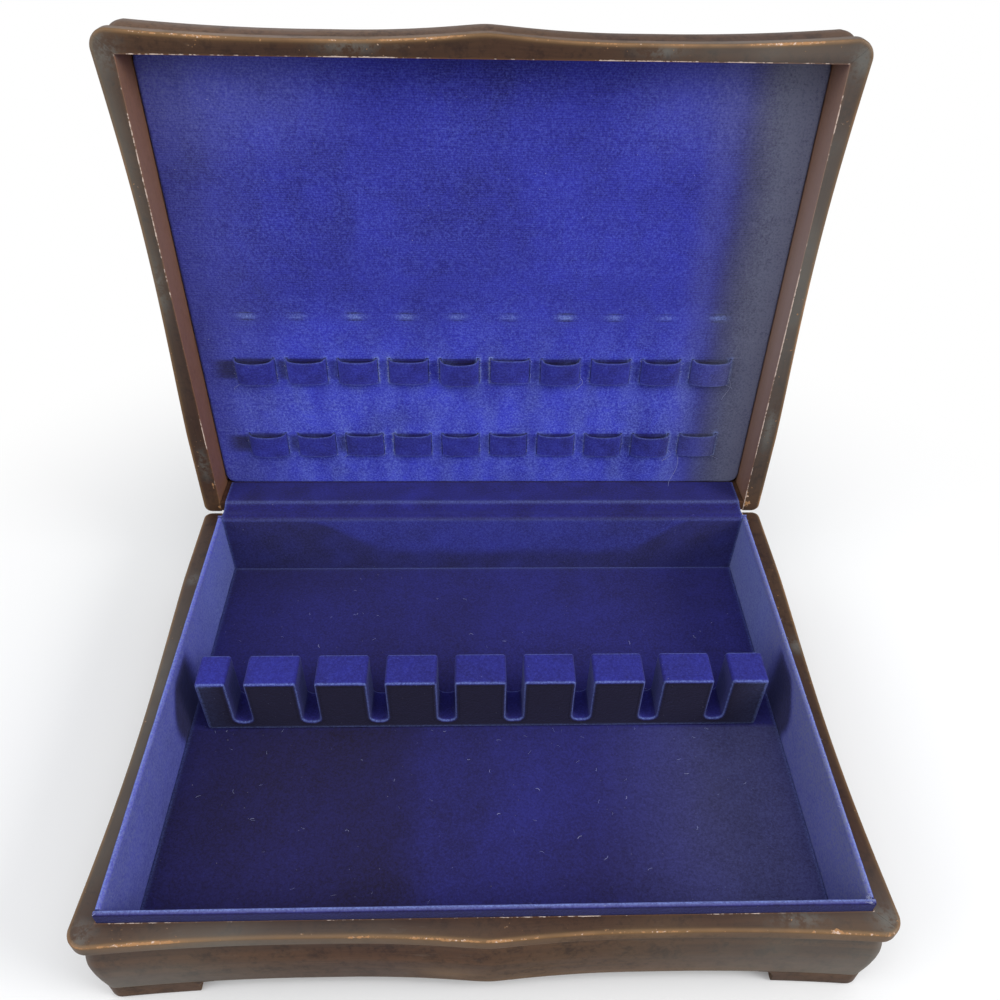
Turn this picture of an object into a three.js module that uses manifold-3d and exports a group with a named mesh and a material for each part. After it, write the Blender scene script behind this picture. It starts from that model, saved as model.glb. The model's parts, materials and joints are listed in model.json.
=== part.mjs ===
// Serpentine silverware chest with a lift lid, in millimetres.
// X runs across the front, Y towards the back and Z up from the table.
// The sizes below are read from the middle of the velvet back wall, and the finished group is then
// moved so that its origin lies under the middle of the open chest.
import * as THREE from 'three';
import { mergeVertices } from 'three/addons/utils/BufferGeometryUtils.js';
import Module from 'manifold-3d';

const wasm = await Module();
wasm.setup();

// Room inside the base, between the velvet walls
const INSIDE_WIDTH = 370;
const INSIDE_DEPTH = 279;

// Gaps
const FIT = 0.3;
const LIP_GAP = 0.7;
const FLAP_ROOM = 1.6;
const WELD = 0.0001;
const OVERRUN = 5;

// Case boards
const CORNER_WALL = 12.4;
const BACK_WALL = 9.1;
const CORNER_RADIUS = 10;
const BACK_CORNER_RADIUS = 4;
const BASE_BOARD_HEIGHT = 55;
const LID_BOARD_HEIGHT = 30.7;
const LID_TOP_THICKNESS = 7;

// Serpentine outline: one sweep on each side, two on the front that meet in a crest
const SIDE_SWEEP = 3.6;
const KNEE_FROM_BACK = 62;
const FRONT_SWEEP = 3.6;
const CREST_HALF_WIDTH = 70;
const CREST_ROUND = 5;
const FLARE_WIDTH = 96;
const SIDE_SWEEP_POWER = 1.25;

// Edge moulding, as insets from the rim and distances from the rim plane
const FLANGE_HEIGHT = 8;
const FLANGE_ROUND = 1.5;
const QUIRK_INSET = 3.6;
const QUIRK_HEIGHT = 5;
const SWELL_INSET = 1;
const BASE_SWELL_HEIGHT = 18;
const BASE_SKIRT_INSET = 3;
const LID_SWELL_HEIGHT = 13;
const LID_SHOULDER_INSET = 1.4;
const LID_EDGE_ROUND = 6;

// Feet
const FOOT_HEIGHT = 13;
const FOOT_ARM = 50;
const FOOT_COVE = 9;
const FOOT_ROUND = 2;

// Velvet covered pieces
const LINER_THICKNESS = 3;
const LIP_HEIGHT = 7;
const PAD_THICKNESS = 4;
const PAD_CROWN_DROP = 1.6;
const PAD_CROWN_REACH = 10;
const BOTTOM_THICKNESS = 6;
const GROOVE_DEPTH = 3;
const GROOVE_LIFT = 3.4;
const LID_CAVITY = 23.4;
const LID_PANEL_THICKNESS = 2.8;
const LID_PANEL_CORNER = 7;
const FLAP_THICKNESS = 0.8;
const FLAP_SAG = 1.6;

// Rack
const RACK_LEFT_GAP = 12.2;
const RACK_RIGHT_GAP = 14.8;
const RACK_THICKNESS = 23.2;
const RACK_FROM_BACK = 121.4;
const RACK_ABOVE_RIM = 3.6;
const SLOT_COUNT = 8;
const LEFT_SLOT_INSET = 23.3;
const RIGHT_SLOT_INSET = 27.8;
const SLOT_WIDTH = 10.6;
const SLOT_FLOOR = 7;
const SLOT_CORNER = 4;
const POST_ROUND = 2;

// Knife loops
const LOOP_COUNT = 10;
const LOOP_INSET = 32.45;
const LOOP_GAP = 7.5;
const LOOP_RISE = 7;
const RIBBON_WIDTH = 18;
const RIBBON_THICKNESS = 1;
const RIBBON_TAIL = 7;
const UPPER_ROW_FROM_BACK = 89.5;
const LOWER_ROW_FROM_BACK = 30.5;
const LOOP_POWER = 0.7;

// Hinges
const OPEN_DEGREES = 93;
const HINGE_FROM_END = 73.3;
const HINGE_LENGTH = 38;
const HINGE_KNUCKLES = 5;
const LEAF_THICKNESS = 1.4;
const LEAF_WIDTH = 8.4;
const BARREL_RADIUS = 2.8;
const PIN_RADIUS = 1.2;
const PIN_HEAD_RADIUS = 2.2;
const PIN_HEAD_LENGTH = 1.2;
const PIN_BEHIND_BACK = 0.9;
const SCREW_SPACING = 18;
const SCREW_FROM_PIN = 5.6;
const SCREW_HEAD_RADIUS = 2.2;
const SCREW_HEAD_DEPTH = 1.1;
const SCREW_RADIUS = 1.1;
const SCREW_LENGTH = 9;
const SCREW_SLOT = 0.5;

// Facets
const FRONT_STEPS = 24;
const SIDE_STEPS = 12;
const CORNER_STEPS = 3;
const SWELL_STEPS = 4;
const ROUND_STEPS = 2;
const LOOP_STEPS = 8;
const CROWN_STEPS = 5;
const ARC_STEPS = 6;
const BARREL_SIDES = 16;
const PIN_SIDES = 12;

// Places that follow from the sizes
const rimHeight = FOOT_HEIGHT + BASE_BOARD_HEIGHT;
const bottomUnder = FOOT_HEIGHT + GROOVE_LIFT + FIT;
const bottomTop = bottomUnder + BOTTOM_THICKNESS;
const padTop = bottomTop + FIT + PAD_THICKNESS;
const caseHalf = INSIDE_WIDTH / 2 + LINER_THICKNESS + FIT;
const caseFront = -(INSIDE_DEPTH + LINER_THICKNESS + FIT);
const caseBack = LINER_THICKNESS + FIT;
const outerHalf = caseHalf + CORNER_WALL;
const outerFront = caseFront - CORNER_WALL;
const outerBack = caseBack + BACK_WALL;
const lidHalf = INSIDE_WIDTH / 2 + LINER_THICKNESS + LIP_GAP;
const lidFront = -(INSIDE_DEPTH + LINER_THICKNESS + LIP_GAP);
const lidBack = LINER_THICKNESS + FLAP_ROOM;
const lidRim = rimHeight + FIT;
const lidTopUnder = lidRim + LID_BOARD_HEIGHT;
const lidPanelFace = lidRim + LID_CAVITY;
const lidPanelBack = lidPanelFace + LID_PANEL_THICKNESS;
const hingeY = outerBack + PIN_BEHIND_BACK;
const hingeZ = rimHeight + FIT / 2;
const openAngle = THREE.MathUtils.degToRad(OPEN_DEGREES);

const WOOD = new THREE.MeshStandardMaterial({ color: 0x4a3029, roughness: 0.38, metalness: 0 });
const WOOD_BARE = new THREE.MeshStandardMaterial({ color: 0x6b4636, roughness: 0.7, metalness: 0 });
const VELVET = new THREE.MeshStandardMaterial({ color: 0x2b2f8f, roughness: 0.95, metalness: 0 });
const VELVET_DARK = new THREE.MeshStandardMaterial({ color: 0x1d2050, roughness: 0.95, metalness: 0 });
const BRASS = new THREE.MeshStandardMaterial({ color: 0x9a7a3c, roughness: 0.4, metalness: 1 });

// A closed geometry from corner points and triangles, with shared corners and faces outwards
function closedGeometry(points, triangles) {
  const loose = new THREE.BufferGeometry();
  loose.setAttribute('position', new THREE.Float32BufferAttribute(points.flatMap((p) => p.toArray()), 3));
  loose.setIndex(triangles.flat());
  const welded = mergeVertices(loose, WELD);
  const index = welded.index.array;
  const place = welded.getAttribute('position');
  const kept = [];
  let volume = 0;
  for (let i = 0; i < index.length; i += 3) {
    const [a, b, c] = index.slice(i, i + 3);
    if (a === b || b === c || c === a) continue;
    kept.push([a, b, c]);
    const corner = [a, b, c].map((k) => new THREE.Vector3().fromBufferAttribute(place, k));
    volume += corner[0].dot(corner[1].cross(corner[2]));
  }
  welded.setIndex(kept.map((t) => (volume < 0 ? [t[0], t[2], t[1]] : t)).flat());
  return welded;
}

// Triangles over the flat end of a loft
function capTriangles(ring, first) {
  const normal = new THREE.Vector3();
  for (let i = 0; i < ring.length; i++) {
    normal.add(new THREE.Vector3().crossVectors(ring[i], ring[(i + 1) % ring.length]));
  }
  normal.normalize();
  const turn = new THREE.Quaternion().setFromUnitVectors(normal, new THREE.Vector3(0, 0, 1));
  const flat = ring.map((p) => p.clone().applyQuaternion(turn));
  const contour = flat.map((p) => new THREE.Vector2(p.x, p.y));
  return THREE.ShapeUtils.triangulateShape(contour, []).map((t) => t.map((k) => k + first));
}

// A solid through a row of rings that all have as many points
function loft(rings) {
  const count = rings[0].length;
  const triangles = [];
  for (let r = 0; r + 1 < rings.length; r++) {
    for (let i = 0; i < count; i++) {
      const a = r * count + i;
      const b = r * count + ((i + 1) % count);
      triangles.push([a, b, b + count], [a, b + count, a + count]);
    }
  }
  triangles.push(...capTriangles(rings[0], 0).map((t) => [t[0], t[2], t[1]]));
  triangles.push(...capTriangles(rings[rings.length - 1], (rings.length - 1) * count));
  return closedGeometry(rings.flat(), triangles);
}

function toSolid(geometry) {
  const bare = new THREE.BufferGeometry();
  bare.setAttribute('position', geometry.getAttribute('position').clone());
  if (geometry.index) bare.setIndex(geometry.index.clone());
  const welded = mergeVertices(bare, WELD);
  return new wasm.Manifold(new wasm.Mesh({
    numProp: 3,
    vertProperties: new Float32Array(welded.getAttribute('position').array),
    triVerts: new Uint32Array(welded.index.array),
  }));
}

function toGeometry(solid) {
  const mesh = solid.getMesh();
  const geometry = new THREE.BufferGeometry();
  geometry.setAttribute('position', new THREE.Float32BufferAttribute(mesh.vertProperties, 3));
  geometry.setIndex(new THREE.Uint32BufferAttribute(mesh.triVerts, 1));
  return geometry;
}

function box(low, high) {
  const size = high.map((h, i) => h - low[i]);
  const geometry = new THREE.BoxGeometry(...size);
  return geometry.translate(...low.map((l, i) => l + size[i] / 2));
}

// A round bar along X, Y or Z from one place to another
function bar(axis, radius, from, to, sides) {
  const geometry = new THREE.CylinderGeometry(radius, radius, from.distanceTo(to), sides);
  if (axis === 'x') geometry.rotateZ(-Math.PI / 2);
  if (axis === 'z') geometry.rotateX(Math.PI / 2);
  const middle = from.clone().add(to).divideScalar(2);
  return geometry.translate(middle.x, middle.y, middle.z);
}

function extrude(shape, depth) {
  return new THREE.ExtrudeGeometry(shape, { depth, bevelEnabled: false, curveSegments: ARC_STEPS });
}

// A shape drawn in Y and Z, run along X
function extrudeAlongX(shape, from, to) {
  const turn = new THREE.Matrix4().makeBasis(
    new THREE.Vector3(0, 1, 0),
    new THREE.Vector3(0, 0, 1),
    new THREE.Vector3(1, 0, 0),
  );
  return extrude(shape, to - from).applyMatrix4(turn).translate(from, 0, 0);
}

// A shape drawn in X and Z, run along Y
function extrudeAlongY(shape, from, to) {
  const turn = new THREE.Matrix4().makeBasis(
    new THREE.Vector3(1, 0, 0),
    new THREE.Vector3(0, 0, 1),
    new THREE.Vector3(0, -1, 0),
  );
  return extrude(shape, to - from).applyMatrix4(turn).translate(0, to, 0);
}

function extrudeAlongZ(shape, from, to) {
  return extrude(shape, to - from).translate(0, 0, from);
}

function clamp(value, low, high) {
  return Math.min(Math.max(value, low), high);
}

// The front rim's Y at a place across the front
function frontEdge(x) {
  const straight = outerHalf - CORNER_RADIUS;
  const out = Math.hypot(x, CREST_ROUND) - CREST_ROUND;
  const crest = Math.max(0, 1 - out / CREST_HALF_WIDTH) ** 2;
  const flare = Math.max(0, 1 - (straight - Math.abs(x)) / FLARE_WIDTH) ** 2;
  return outerFront + FRONT_SWEEP * (1 - Math.max(crest, flare));
}

// The right rim's X at a place along the side: straight behind the knee, then one sweep
function sideEdge(y) {
  const knee = outerBack - KNEE_FROM_BACK;
  const end = outerFront + CORNER_RADIUS;
  const share = clamp((knee - y) / (knee - end), 0, 1);
  return outerHalf - SIDE_SWEEP * Math.sin(Math.PI * share ** SIDE_SWEEP_POWER);
}

// Places on the rim of the right front corner, between two angles in degrees
function cornerStations(fromDegrees, toDegrees) {
  const stations = [];
  for (let i = 0; i <= CORNER_STEPS; i++) {
    const angle = THREE.MathUtils.degToRad(fromDegrees + ((toDegrees - fromDegrees) * i) / CORNER_STEPS);
    const out = new THREE.Vector2(Math.cos(angle), Math.sin(angle));
    stations.push({
      x: outerHalf - CORNER_RADIUS + CORNER_RADIUS * out.x,
      y: outerFront + CORNER_RADIUS + CORNER_RADIUS * out.y,
      out,
    });
  }
  return stations;
}

function mirrored(stations) {
  return stations.map((s) => ({ x: -s.x, y: s.y, out: new THREE.Vector2(-s.out.x, s.out.y) })).reverse();
}

// The rim from the left mitre to the right one
function frontStations() {
  const straight = outerHalf - CORNER_RADIUS;
  const middle = [];
  for (let i = 1; i < FRONT_STEPS; i++) {
    const x = straight * ((2 * i) / FRONT_STEPS - 1);
    middle.push({ x, y: frontEdge(x), out: new THREE.Vector2(0, -1) });
  }
  const corner = cornerStations(-90, -45);
  return [...mirrored(corner), ...middle, ...corner];
}

// The rim from the right mitre to the back of the right side
function sideStations() {
  const stations = cornerStations(-45, 0);
  const start = outerFront + CORNER_RADIUS;
  const end = outerBack - BACK_CORNER_RADIUS;
  const out = new THREE.Vector2(1, 0);
  for (let i = 1; i <= SIDE_STEPS; i++) {
    const y = start + ((end - start) * i) / SIDE_STEPS;
    stations.push({ x: sideEdge(y), y, out });
  }
  for (let i = 1; i <= ROUND_STEPS; i++) {
    const angle = ((Math.PI / 2) * i) / ROUND_STEPS;
    stations.push({
      x: outerHalf - BACK_CORNER_RADIUS * (1 - Math.cos(angle)),
      y: end + BACK_CORNER_RADIUS * Math.sin(angle),
      out,
    });
  }
  return stations;
}

// Insets and heights of the moulding: a rounded flange, a quirk and a swelling below or above it
function mouldingProfile(swellHeight, endInset, height) {
  const profile = [];
  for (let i = 0; i <= ROUND_STEPS; i++) {
    const angle = ((Math.PI / 2) * i) / ROUND_STEPS;
    profile.push([FLANGE_ROUND * (1 - Math.sin(angle)), FLANGE_ROUND * (1 - Math.cos(angle))]);
  }
  for (let i = 0; i <= ROUND_STEPS; i++) {
    const angle = ((Math.PI / 2) * i) / ROUND_STEPS;
    const under = FLANGE_HEIGHT - FLANGE_ROUND * (1 - Math.sin(angle));
    profile.push([FLANGE_ROUND * (1 - Math.cos(angle)), under]);
  }
  const quirkEnd = FLANGE_HEIGHT + QUIRK_HEIGHT;
  profile.push([QUIRK_INSET, FLANGE_HEIGHT]);
  for (let i = 0; i <= SWELL_STEPS; i++) {
    const share = i / SWELL_STEPS;
    const swell = (1 - Math.cos(Math.PI * share)) / 2;
    profile.push([QUIRK_INSET + (SWELL_INSET - QUIRK_INSET) * swell, quirkEnd + swellHeight * share]);
  }
  const swellEnd = quirkEnd + swellHeight;
  for (let i = 1; i <= SWELL_STEPS; i++) {
    const share = i / SWELL_STEPS;
    const fall = 1 - Math.cos((Math.PI / 2) * share);
    profile.push([SWELL_INSET + (endInset - SWELL_INSET) * fall, swellEnd + (height - swellEnd) * share]);
  }
  return profile;
}

function insetPoint(station, inset, z) {
  return new THREE.Vector3(station.x - station.out.x * inset, station.y - station.out.y * inset, z);
}

// A board as a loft: its moulded face outside, its flat or grooved face inside
function mouldedBoard(stations, profile, inside, innerPoint) {
  return loft(stations.map((station) => [
    ...profile.map(([inset, z]) => insetPoint(station, inset, z)),
    ...inside.map(([depth, z]) => innerPoint(station, depth, z)),
  ]));
}

const baseProfile = mouldingProfile(BASE_SWELL_HEIGHT, BASE_SKIRT_INSET, BASE_BOARD_HEIGHT)
  .map(([inset, down]) => [inset, rimHeight - down]);
const lidProfile = mouldingProfile(LID_SWELL_HEIGHT, LID_SHOULDER_INSET, LID_BOARD_HEIGHT)
  .map(([inset, up]) => [inset, lidRim + up]);
const baseInside = [
  [0, FOOT_HEIGHT],
  [0, bottomUnder - FIT],
  [GROOVE_DEPTH, bottomUnder - FIT],
  [GROOVE_DEPTH, bottomTop + FIT],
  [0, bottomTop + FIT],
  [0, rimHeight],
];
const lidInside = [[0, lidTopUnder], [0, lidRim]];

// Each mitred end stands back, so that a hairline shows between two boards
const mitreSetback = FIT * Math.SQRT1_2;

function frontBoard(profile, inside, half, front) {
  const stations = frontStations();
  const innerPoint = (s, depth, z) => {
    const end = half + depth - mitreSetback;
    return new THREE.Vector3(clamp(s.x, -end, end), front - depth, z);
  };
  stations[0].x += mitreSetback;
  stations[stations.length - 1].x -= mitreSetback;
  return mouldedBoard(stations, profile, inside, innerPoint);
}

function rightBoard(profile, inside, half, front) {
  const stations = sideStations();
  const innerPoint = (s, depth, z) => {
    const y = Math.max(s.y, front - depth + mitreSetback);
    return new THREE.Vector3(half + depth, y, z);
  };
  stations[0].y += mitreSetback;
  return mouldedBoard(stations, profile, inside, innerPoint);
}

// The same piece on the other side of the middle
function mirrorX(geometry) {
  const place = geometry.getAttribute('position');
  const points = [];
  for (let i = 0; i < place.count; i++) {
    points.push(new THREE.Vector3(-place.getX(i), place.getY(i), place.getZ(i)));
  }
  const index = geometry.index.array;
  const triangles = [];
  for (let i = 0; i < index.length; i += 3) {
    triangles.push([index[i], index[i + 2], index[i + 1]]);
  }
  return closedGeometry(points, triangles);
}

const hingeMiddle = caseHalf - HINGE_FROM_END;
const hingeMiddles = [-hingeMiddle, hingeMiddle];
const screwY = hingeY - SCREW_FROM_PIN;
const screwOffsets = [-SCREW_SPACING / 2, SCREW_SPACING / 2];

// What the hinges take out of a back board: the leaf's mortise, the barrel's notch and pilot holes
function hingeCuts(middle, upwards) {
  const side = upwards ? 1 : -1;
  const face = upwards ? lidRim : rimHeight;
  const half = HINGE_LENGTH / 2 + FIT;
  const floor = face + side * (LEAF_THICKNESS + FIT);
  const mouth = face - side * OVERRUN;
  const mortise = box(
    [middle - half, hingeY - LEAF_WIDTH - FIT, Math.min(floor, mouth)],
    [middle + half, outerBack + OVERRUN, Math.max(floor, mouth)],
  );
  const notch = bar(
    'x',
    BARREL_RADIUS + 2 * FIT,
    new THREE.Vector3(middle - half - PIN_HEAD_LENGTH - FIT, hingeY, hingeZ),
    new THREE.Vector3(middle + half + PIN_HEAD_LENGTH + FIT, hingeY, hingeZ),
    BARREL_SIDES,
  );
  const cuts = [mortise, notch];
  for (const offset of screwOffsets) {
    const tip = face + side * (SCREW_LENGTH + FIT);
    cuts.push(bar(
      'z',
      SCREW_RADIUS + FIT,
      new THREE.Vector3(middle + offset, screwY, face),
      new THREE.Vector3(middle + offset, screwY, tip),
      PIN_SIDES,
    ));
  }
  return cuts.map(toSolid);
}

function withHingeCuts(geometry, upwards) {
  let solid = toSolid(geometry);
  for (const middle of hingeMiddles) {
    for (const cut of hingeCuts(middle, upwards)) {
      solid = solid.subtract(cut);
    }
  }
  return solid;
}

function baseBack() {
  const shape = new THREE.Shape();
  shape.moveTo(caseBack, FOOT_HEIGHT);
  shape.lineTo(outerBack, FOOT_HEIGHT);
  shape.lineTo(outerBack, rimHeight - FLANGE_ROUND);
  shape.absarc(outerBack - FLANGE_ROUND, rimHeight - FLANGE_ROUND, FLANGE_ROUND, 0, Math.PI / 2);
  shape.lineTo(caseBack, rimHeight);
  const board = extrudeAlongX(shape, -(caseHalf - FIT), caseHalf - FIT);
  const groove = box(
    [-(caseHalf + OVERRUN), caseBack - OVERRUN, bottomUnder - FIT],
    [caseHalf + OVERRUN, caseBack + GROOVE_DEPTH, bottomTop + FIT],
  );
  return toGeometry(withHingeCuts(board, false).subtract(toSolid(groove)));
}

function lidBackBoard() {
  const shape = new THREE.Shape();
  shape.moveTo(lidBack, lidRim);
  shape.lineTo(outerBack - FLANGE_ROUND, lidRim);
  shape.absarc(outerBack - FLANGE_ROUND, lidRim + FLANGE_ROUND, FLANGE_ROUND, -Math.PI / 2, 0);
  shape.lineTo(outerBack, lidTopUnder);
  shape.lineTo(lidBack, lidTopUnder);
  const board = extrudeAlongX(shape, -(lidHalf - FIT), lidHalf - FIT);
  return toGeometry(withHingeCuts(board, true));
}

// The bottom panel reaches into the grooves of all four boards
function baseBottom() {
  const reach = GROOVE_DEPTH - FIT;
  return box(
    [-(caseHalf + reach), caseFront - reach, bottomUnder],
    [caseHalf + reach, caseBack + reach, bottomTop],
  );
}

// The whole outline at one inset, as a ring of points at one height
function outlineRing(inset, z) {
  const side = sideStations();
  const ring = [...frontStations(), ...side.slice(1), ...mirrored(side).slice(0, -1)];
  return ring.map((station) => insetPoint(station, inset, z));
}

// Top board: its edge turns over in a quarter round that follows the serpentine outline
function lidTop() {
  const rings = [];
  const under = lidTopUnder + FIT;
  for (let i = 0; i <= ROUND_STEPS + 1; i++) {
    const angle = ((Math.PI / 2) * i) / (ROUND_STEPS + 1);
    const inset = LID_SHOULDER_INSET + LID_EDGE_ROUND * (1 - Math.cos(angle));
    rings.push(outlineRing(inset, under + LID_TOP_THICKNESS * Math.sin(angle)));
  }
  return loft(rings);
}

// The feet start as one band under the boards, and each corner keeps its own two arms
function footBand() {
  const rings = [];
  for (let i = 0; i <= ROUND_STEPS; i++) {
    const angle = ((Math.PI / 2) * i) / ROUND_STEPS;
    const inset = BASE_SKIRT_INSET + FOOT_ROUND * (1 - Math.sin(angle));
    rings.push(outlineRing(inset, FOOT_ROUND * (1 - Math.cos(angle))));
  }
  rings.push(outlineRing(BASE_SKIRT_INSET, FOOT_HEIGHT - FIT));
  const middle = box(
    [-caseHalf, caseFront, -OVERRUN],
    [caseHalf, caseBack, FOOT_HEIGHT + OVERRUN],
  );
  return toSolid(loft(rings)).subtract(toSolid(middle));
}

// Side view of an arm: square at the corner, coved where it ends under the board
function footArmShape(corner, end) {
  const way = Math.sign(end - corner);
  const coveTop = FOOT_HEIGHT + OVERRUN;
  const shape = new THREE.Shape();
  shape.moveTo(corner - way * OVERRUN, -OVERRUN);
  shape.lineTo(end - way * FOOT_COVE, -OVERRUN);
  const turn = way > 0 ? [Math.PI, Math.PI / 2, true] : [0, Math.PI / 2, false];
  shape.absarc(end, FOOT_HEIGHT - FIT - FOOT_COVE, FOOT_COVE, ...turn);
  shape.lineTo(end, coveTop);
  shape.lineTo(corner - way * OVERRUN, coveTop);
  return shape;
}

function foot(band, atRight, atBack) {
  const cornerX = atRight ? outerHalf : -outerHalf;
  const endX = cornerX + (atRight ? -1 : 1) * (FOOT_ARM + FOOT_COVE);
  const cornerY = atBack ? outerBack : outerFront;
  const endY = cornerY + (atBack ? -1 : 1) * (FOOT_ARM + FOOT_COVE);
  const alongX = extrudeAlongY(footArmShape(cornerX, endX), outerFront - OVERRUN, outerBack + OVERRUN);
  const alongY = extrudeAlongX(footArmShape(cornerY, endY), -outerHalf - OVERRUN, outerHalf + OVERRUN);
  return toGeometry(band.intersect(toSolid(alongX)).intersect(toSolid(alongY)));
}

// A velvet covered wall with a rounded top, seen from its end
function linerShape(from, to) {
  const radius = (to - from) / 2;
  const top = rimHeight + LIP_HEIGHT;
  const shape = new THREE.Shape();
  shape.moveTo(from, bottomTop + FIT);
  shape.lineTo(to, bottomTop + FIT);
  shape.lineTo(to, top - radius);
  shape.absarc(from + radius, top - radius, radius, 0, Math.PI);
  return shape;
}

function linerAcross(from, to) {
  const half = INSIDE_WIDTH / 2 + LINER_THICKNESS;
  return extrudeAlongX(linerShape(from, to), -half, half);
}

function linerAlong(from, to) {
  return extrudeAlongY(linerShape(from, to), -(INSIDE_DEPTH - FIT), -FIT);
}

// The floor pad is cushioned: its top falls off to all four edges in a quarter ellipse
function floorPad() {
  const half = INSIDE_WIDTH / 2 - FIT;
  const front = -(INSIDE_DEPTH - FIT);
  const back = -(FLAP_THICKNESS + 2 * FIT);
  const ring = (inset, z) => [
    new THREE.Vector3(-half + inset, front + inset, z),
    new THREE.Vector3(half - inset, front + inset, z),
    new THREE.Vector3(half - inset, back - inset, z),
    new THREE.Vector3(-half + inset, back - inset, z),
  ];
  const rings = [ring(0, bottomTop + FIT)];
  for (let i = 0; i <= CROWN_STEPS; i++) {
    const angle = ((Math.PI / 2) * i) / CROWN_STEPS;
    const drop = PAD_CROWN_DROP * (1 - Math.sin(angle));
    rings.push(ring(PAD_CROWN_REACH * (1 - Math.cos(angle)), padTop - drop));
  }
  return loft(rings);
}

// The rack is one block with a row of U slots open at the top and rounded posts between them
function silverRack() {
  const under = padTop + FIT;
  const top = rimHeight + RACK_ABOVE_RIM;
  const floor = under + SLOT_FLOOR;
  const leftEnd = -INSIDE_WIDTH / 2 + RACK_LEFT_GAP;
  const rightEnd = INSIDE_WIDTH / 2 - RACK_RIGHT_GAP;
  const firstSlot = leftEnd + LEFT_SLOT_INSET;
  const pitch = (rightEnd - RIGHT_SLOT_INSET - firstSlot) / (SLOT_COUNT - 1);
  const shape = new THREE.Shape();
  shape.moveTo(leftEnd, under);
  shape.lineTo(rightEnd, under);
  shape.absarc(rightEnd - POST_ROUND, top - POST_ROUND, POST_ROUND, 0, Math.PI / 2);
  for (let i = SLOT_COUNT - 1; i >= 0; i--) {
    const middle = firstSlot + i * pitch;
    const right = middle + SLOT_WIDTH / 2;
    const left = middle - SLOT_WIDTH / 2;
    shape.absarc(right + POST_ROUND, top - POST_ROUND, POST_ROUND, Math.PI / 2, Math.PI);
    shape.absarc(right - SLOT_CORNER, floor + SLOT_CORNER, SLOT_CORNER, 0, -Math.PI / 2, true);
    shape.absarc(left + SLOT_CORNER, floor + SLOT_CORNER, SLOT_CORNER, -Math.PI / 2, Math.PI, true);
    shape.absarc(left - POST_ROUND, top - POST_ROUND, POST_ROUND, 0, Math.PI / 2);
  }
  shape.absarc(leftEnd + POST_ROUND, top - POST_ROUND, POST_ROUND, Math.PI / 2, Math.PI);
  return extrudeAlongY(shape, -(RACK_FROM_BACK + RACK_THICKNESS), -RACK_FROM_BACK);
}

const loopPitch = (INSIDE_WIDTH - 2 * LOOP_INSET) / (LOOP_COUNT - 1);
const loopMiddles = Array.from({ length: LOOP_COUNT }, (_, i) => (i - (LOOP_COUNT - 1) / 2) * loopPitch);
const legOffset = (loopPitch - LOOP_GAP - RIBBON_THICKNESS) / 2;

// Lining panel of the lid, with rounded corners and two slits for each loop
function lidPanel() {
  const half = lidHalf - FIT;
  const front = lidFront + FIT;
  const back = lidBack - FIT;
  const r = LID_PANEL_CORNER;
  const shape = new THREE.Shape();
  shape.absarc(half - r, front + r, r, -Math.PI / 2, 0);
  shape.absarc(half - r, back - r, r, 0, Math.PI / 2);
  shape.absarc(-half + r, back - r, r, Math.PI / 2, Math.PI);
  shape.absarc(-half + r, front + r, r, Math.PI, 1.5 * Math.PI);
  let solid = toSolid(extrudeAlongZ(shape, lidPanelFace, lidPanelBack));
  const slitHalfWidth = RIBBON_THICKNESS / 2 + FIT;
  const slitHalfLength = RIBBON_WIDTH / 2 + FIT;
  for (const row of [-UPPER_ROW_FROM_BACK, -LOWER_ROW_FROM_BACK]) {
    for (const middle of loopMiddles) {
      for (const leg of [middle - legOffset, middle + legOffset]) {
        const slit = box(
          [leg - slitHalfWidth, row - slitHalfLength, lidPanelFace - OVERRUN],
          [leg + slitHalfWidth, row + slitHalfLength, lidPanelBack + OVERRUN],
        );
        solid = solid.subtract(toSolid(slit));
      }
    }
  }
  return toGeometry(solid);
}

// A strip of one thickness along a line of points
function stripShape(line, thickness) {
  const side = (way) => line.map((p, i) => {
    const before = line[Math.max(i - 1, 0)];
    const after = line[Math.min(i + 1, line.length - 1)];
    const inDirection = p.clone().sub(before).normalize();
    const outDirection = after.clone().sub(p).normalize();
    const along = inDirection.clone().add(outDirection).normalize();
    const bend = Math.max(along.dot(i > 0 ? inDirection : outDirection), Math.SQRT1_2);
    const reach = (way * thickness) / (2 * bend);
    return new THREE.Vector2(p.x - along.y * reach, p.y + along.x * reach);
  });
  return new THREE.Shape([...side(-1), ...side(1).reverse()]);
}

// One ribbon: it runs behind the panel, comes out through each slit and stands out as a loop
function loopBand(fromBack) {
  const behind = lidPanelBack + FIT + RIBBON_THICKNESS / 2;
  const line = [new THREE.Vector2(loopMiddles[0] - legOffset - RIBBON_TAIL, behind)];
  for (const middle of loopMiddles) {
    line.push(new THREE.Vector2(middle - legOffset, behind));
    for (let i = 0; i <= LOOP_STEPS; i++) {
      const angle = (Math.PI * i) / LOOP_STEPS;
      const out = (LOOP_RISE - RIBBON_THICKNESS / 2) * Math.sin(angle) ** LOOP_POWER;
      line.push(new THREE.Vector2(middle - legOffset * Math.cos(angle), lidPanelFace - out));
    }
    line.push(new THREE.Vector2(middle + legOffset, behind));
  }
  line.push(new THREE.Vector2(loopMiddles[LOOP_COUNT - 1] + legOffset + RIBBON_TAIL, behind));
  const shape = stripShape(line, RIBBON_THICKNESS);
  return extrudeAlongY(shape, -fromBack - RIBBON_WIDTH / 2, -fromBack + RIBBON_WIDTH / 2);
}

// Where a point of the closed lid stands when the lid is open, in Y and Z
function whenOpen(y, z) {
  const across = y - hingeY;
  const up = z - hingeZ;
  return new THREE.Vector2(
    hingeY + across * Math.cos(openAngle) + up * Math.sin(openAngle),
    hingeZ - across * Math.sin(openAngle) + up * Math.cos(openAngle),
  );
}

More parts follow.
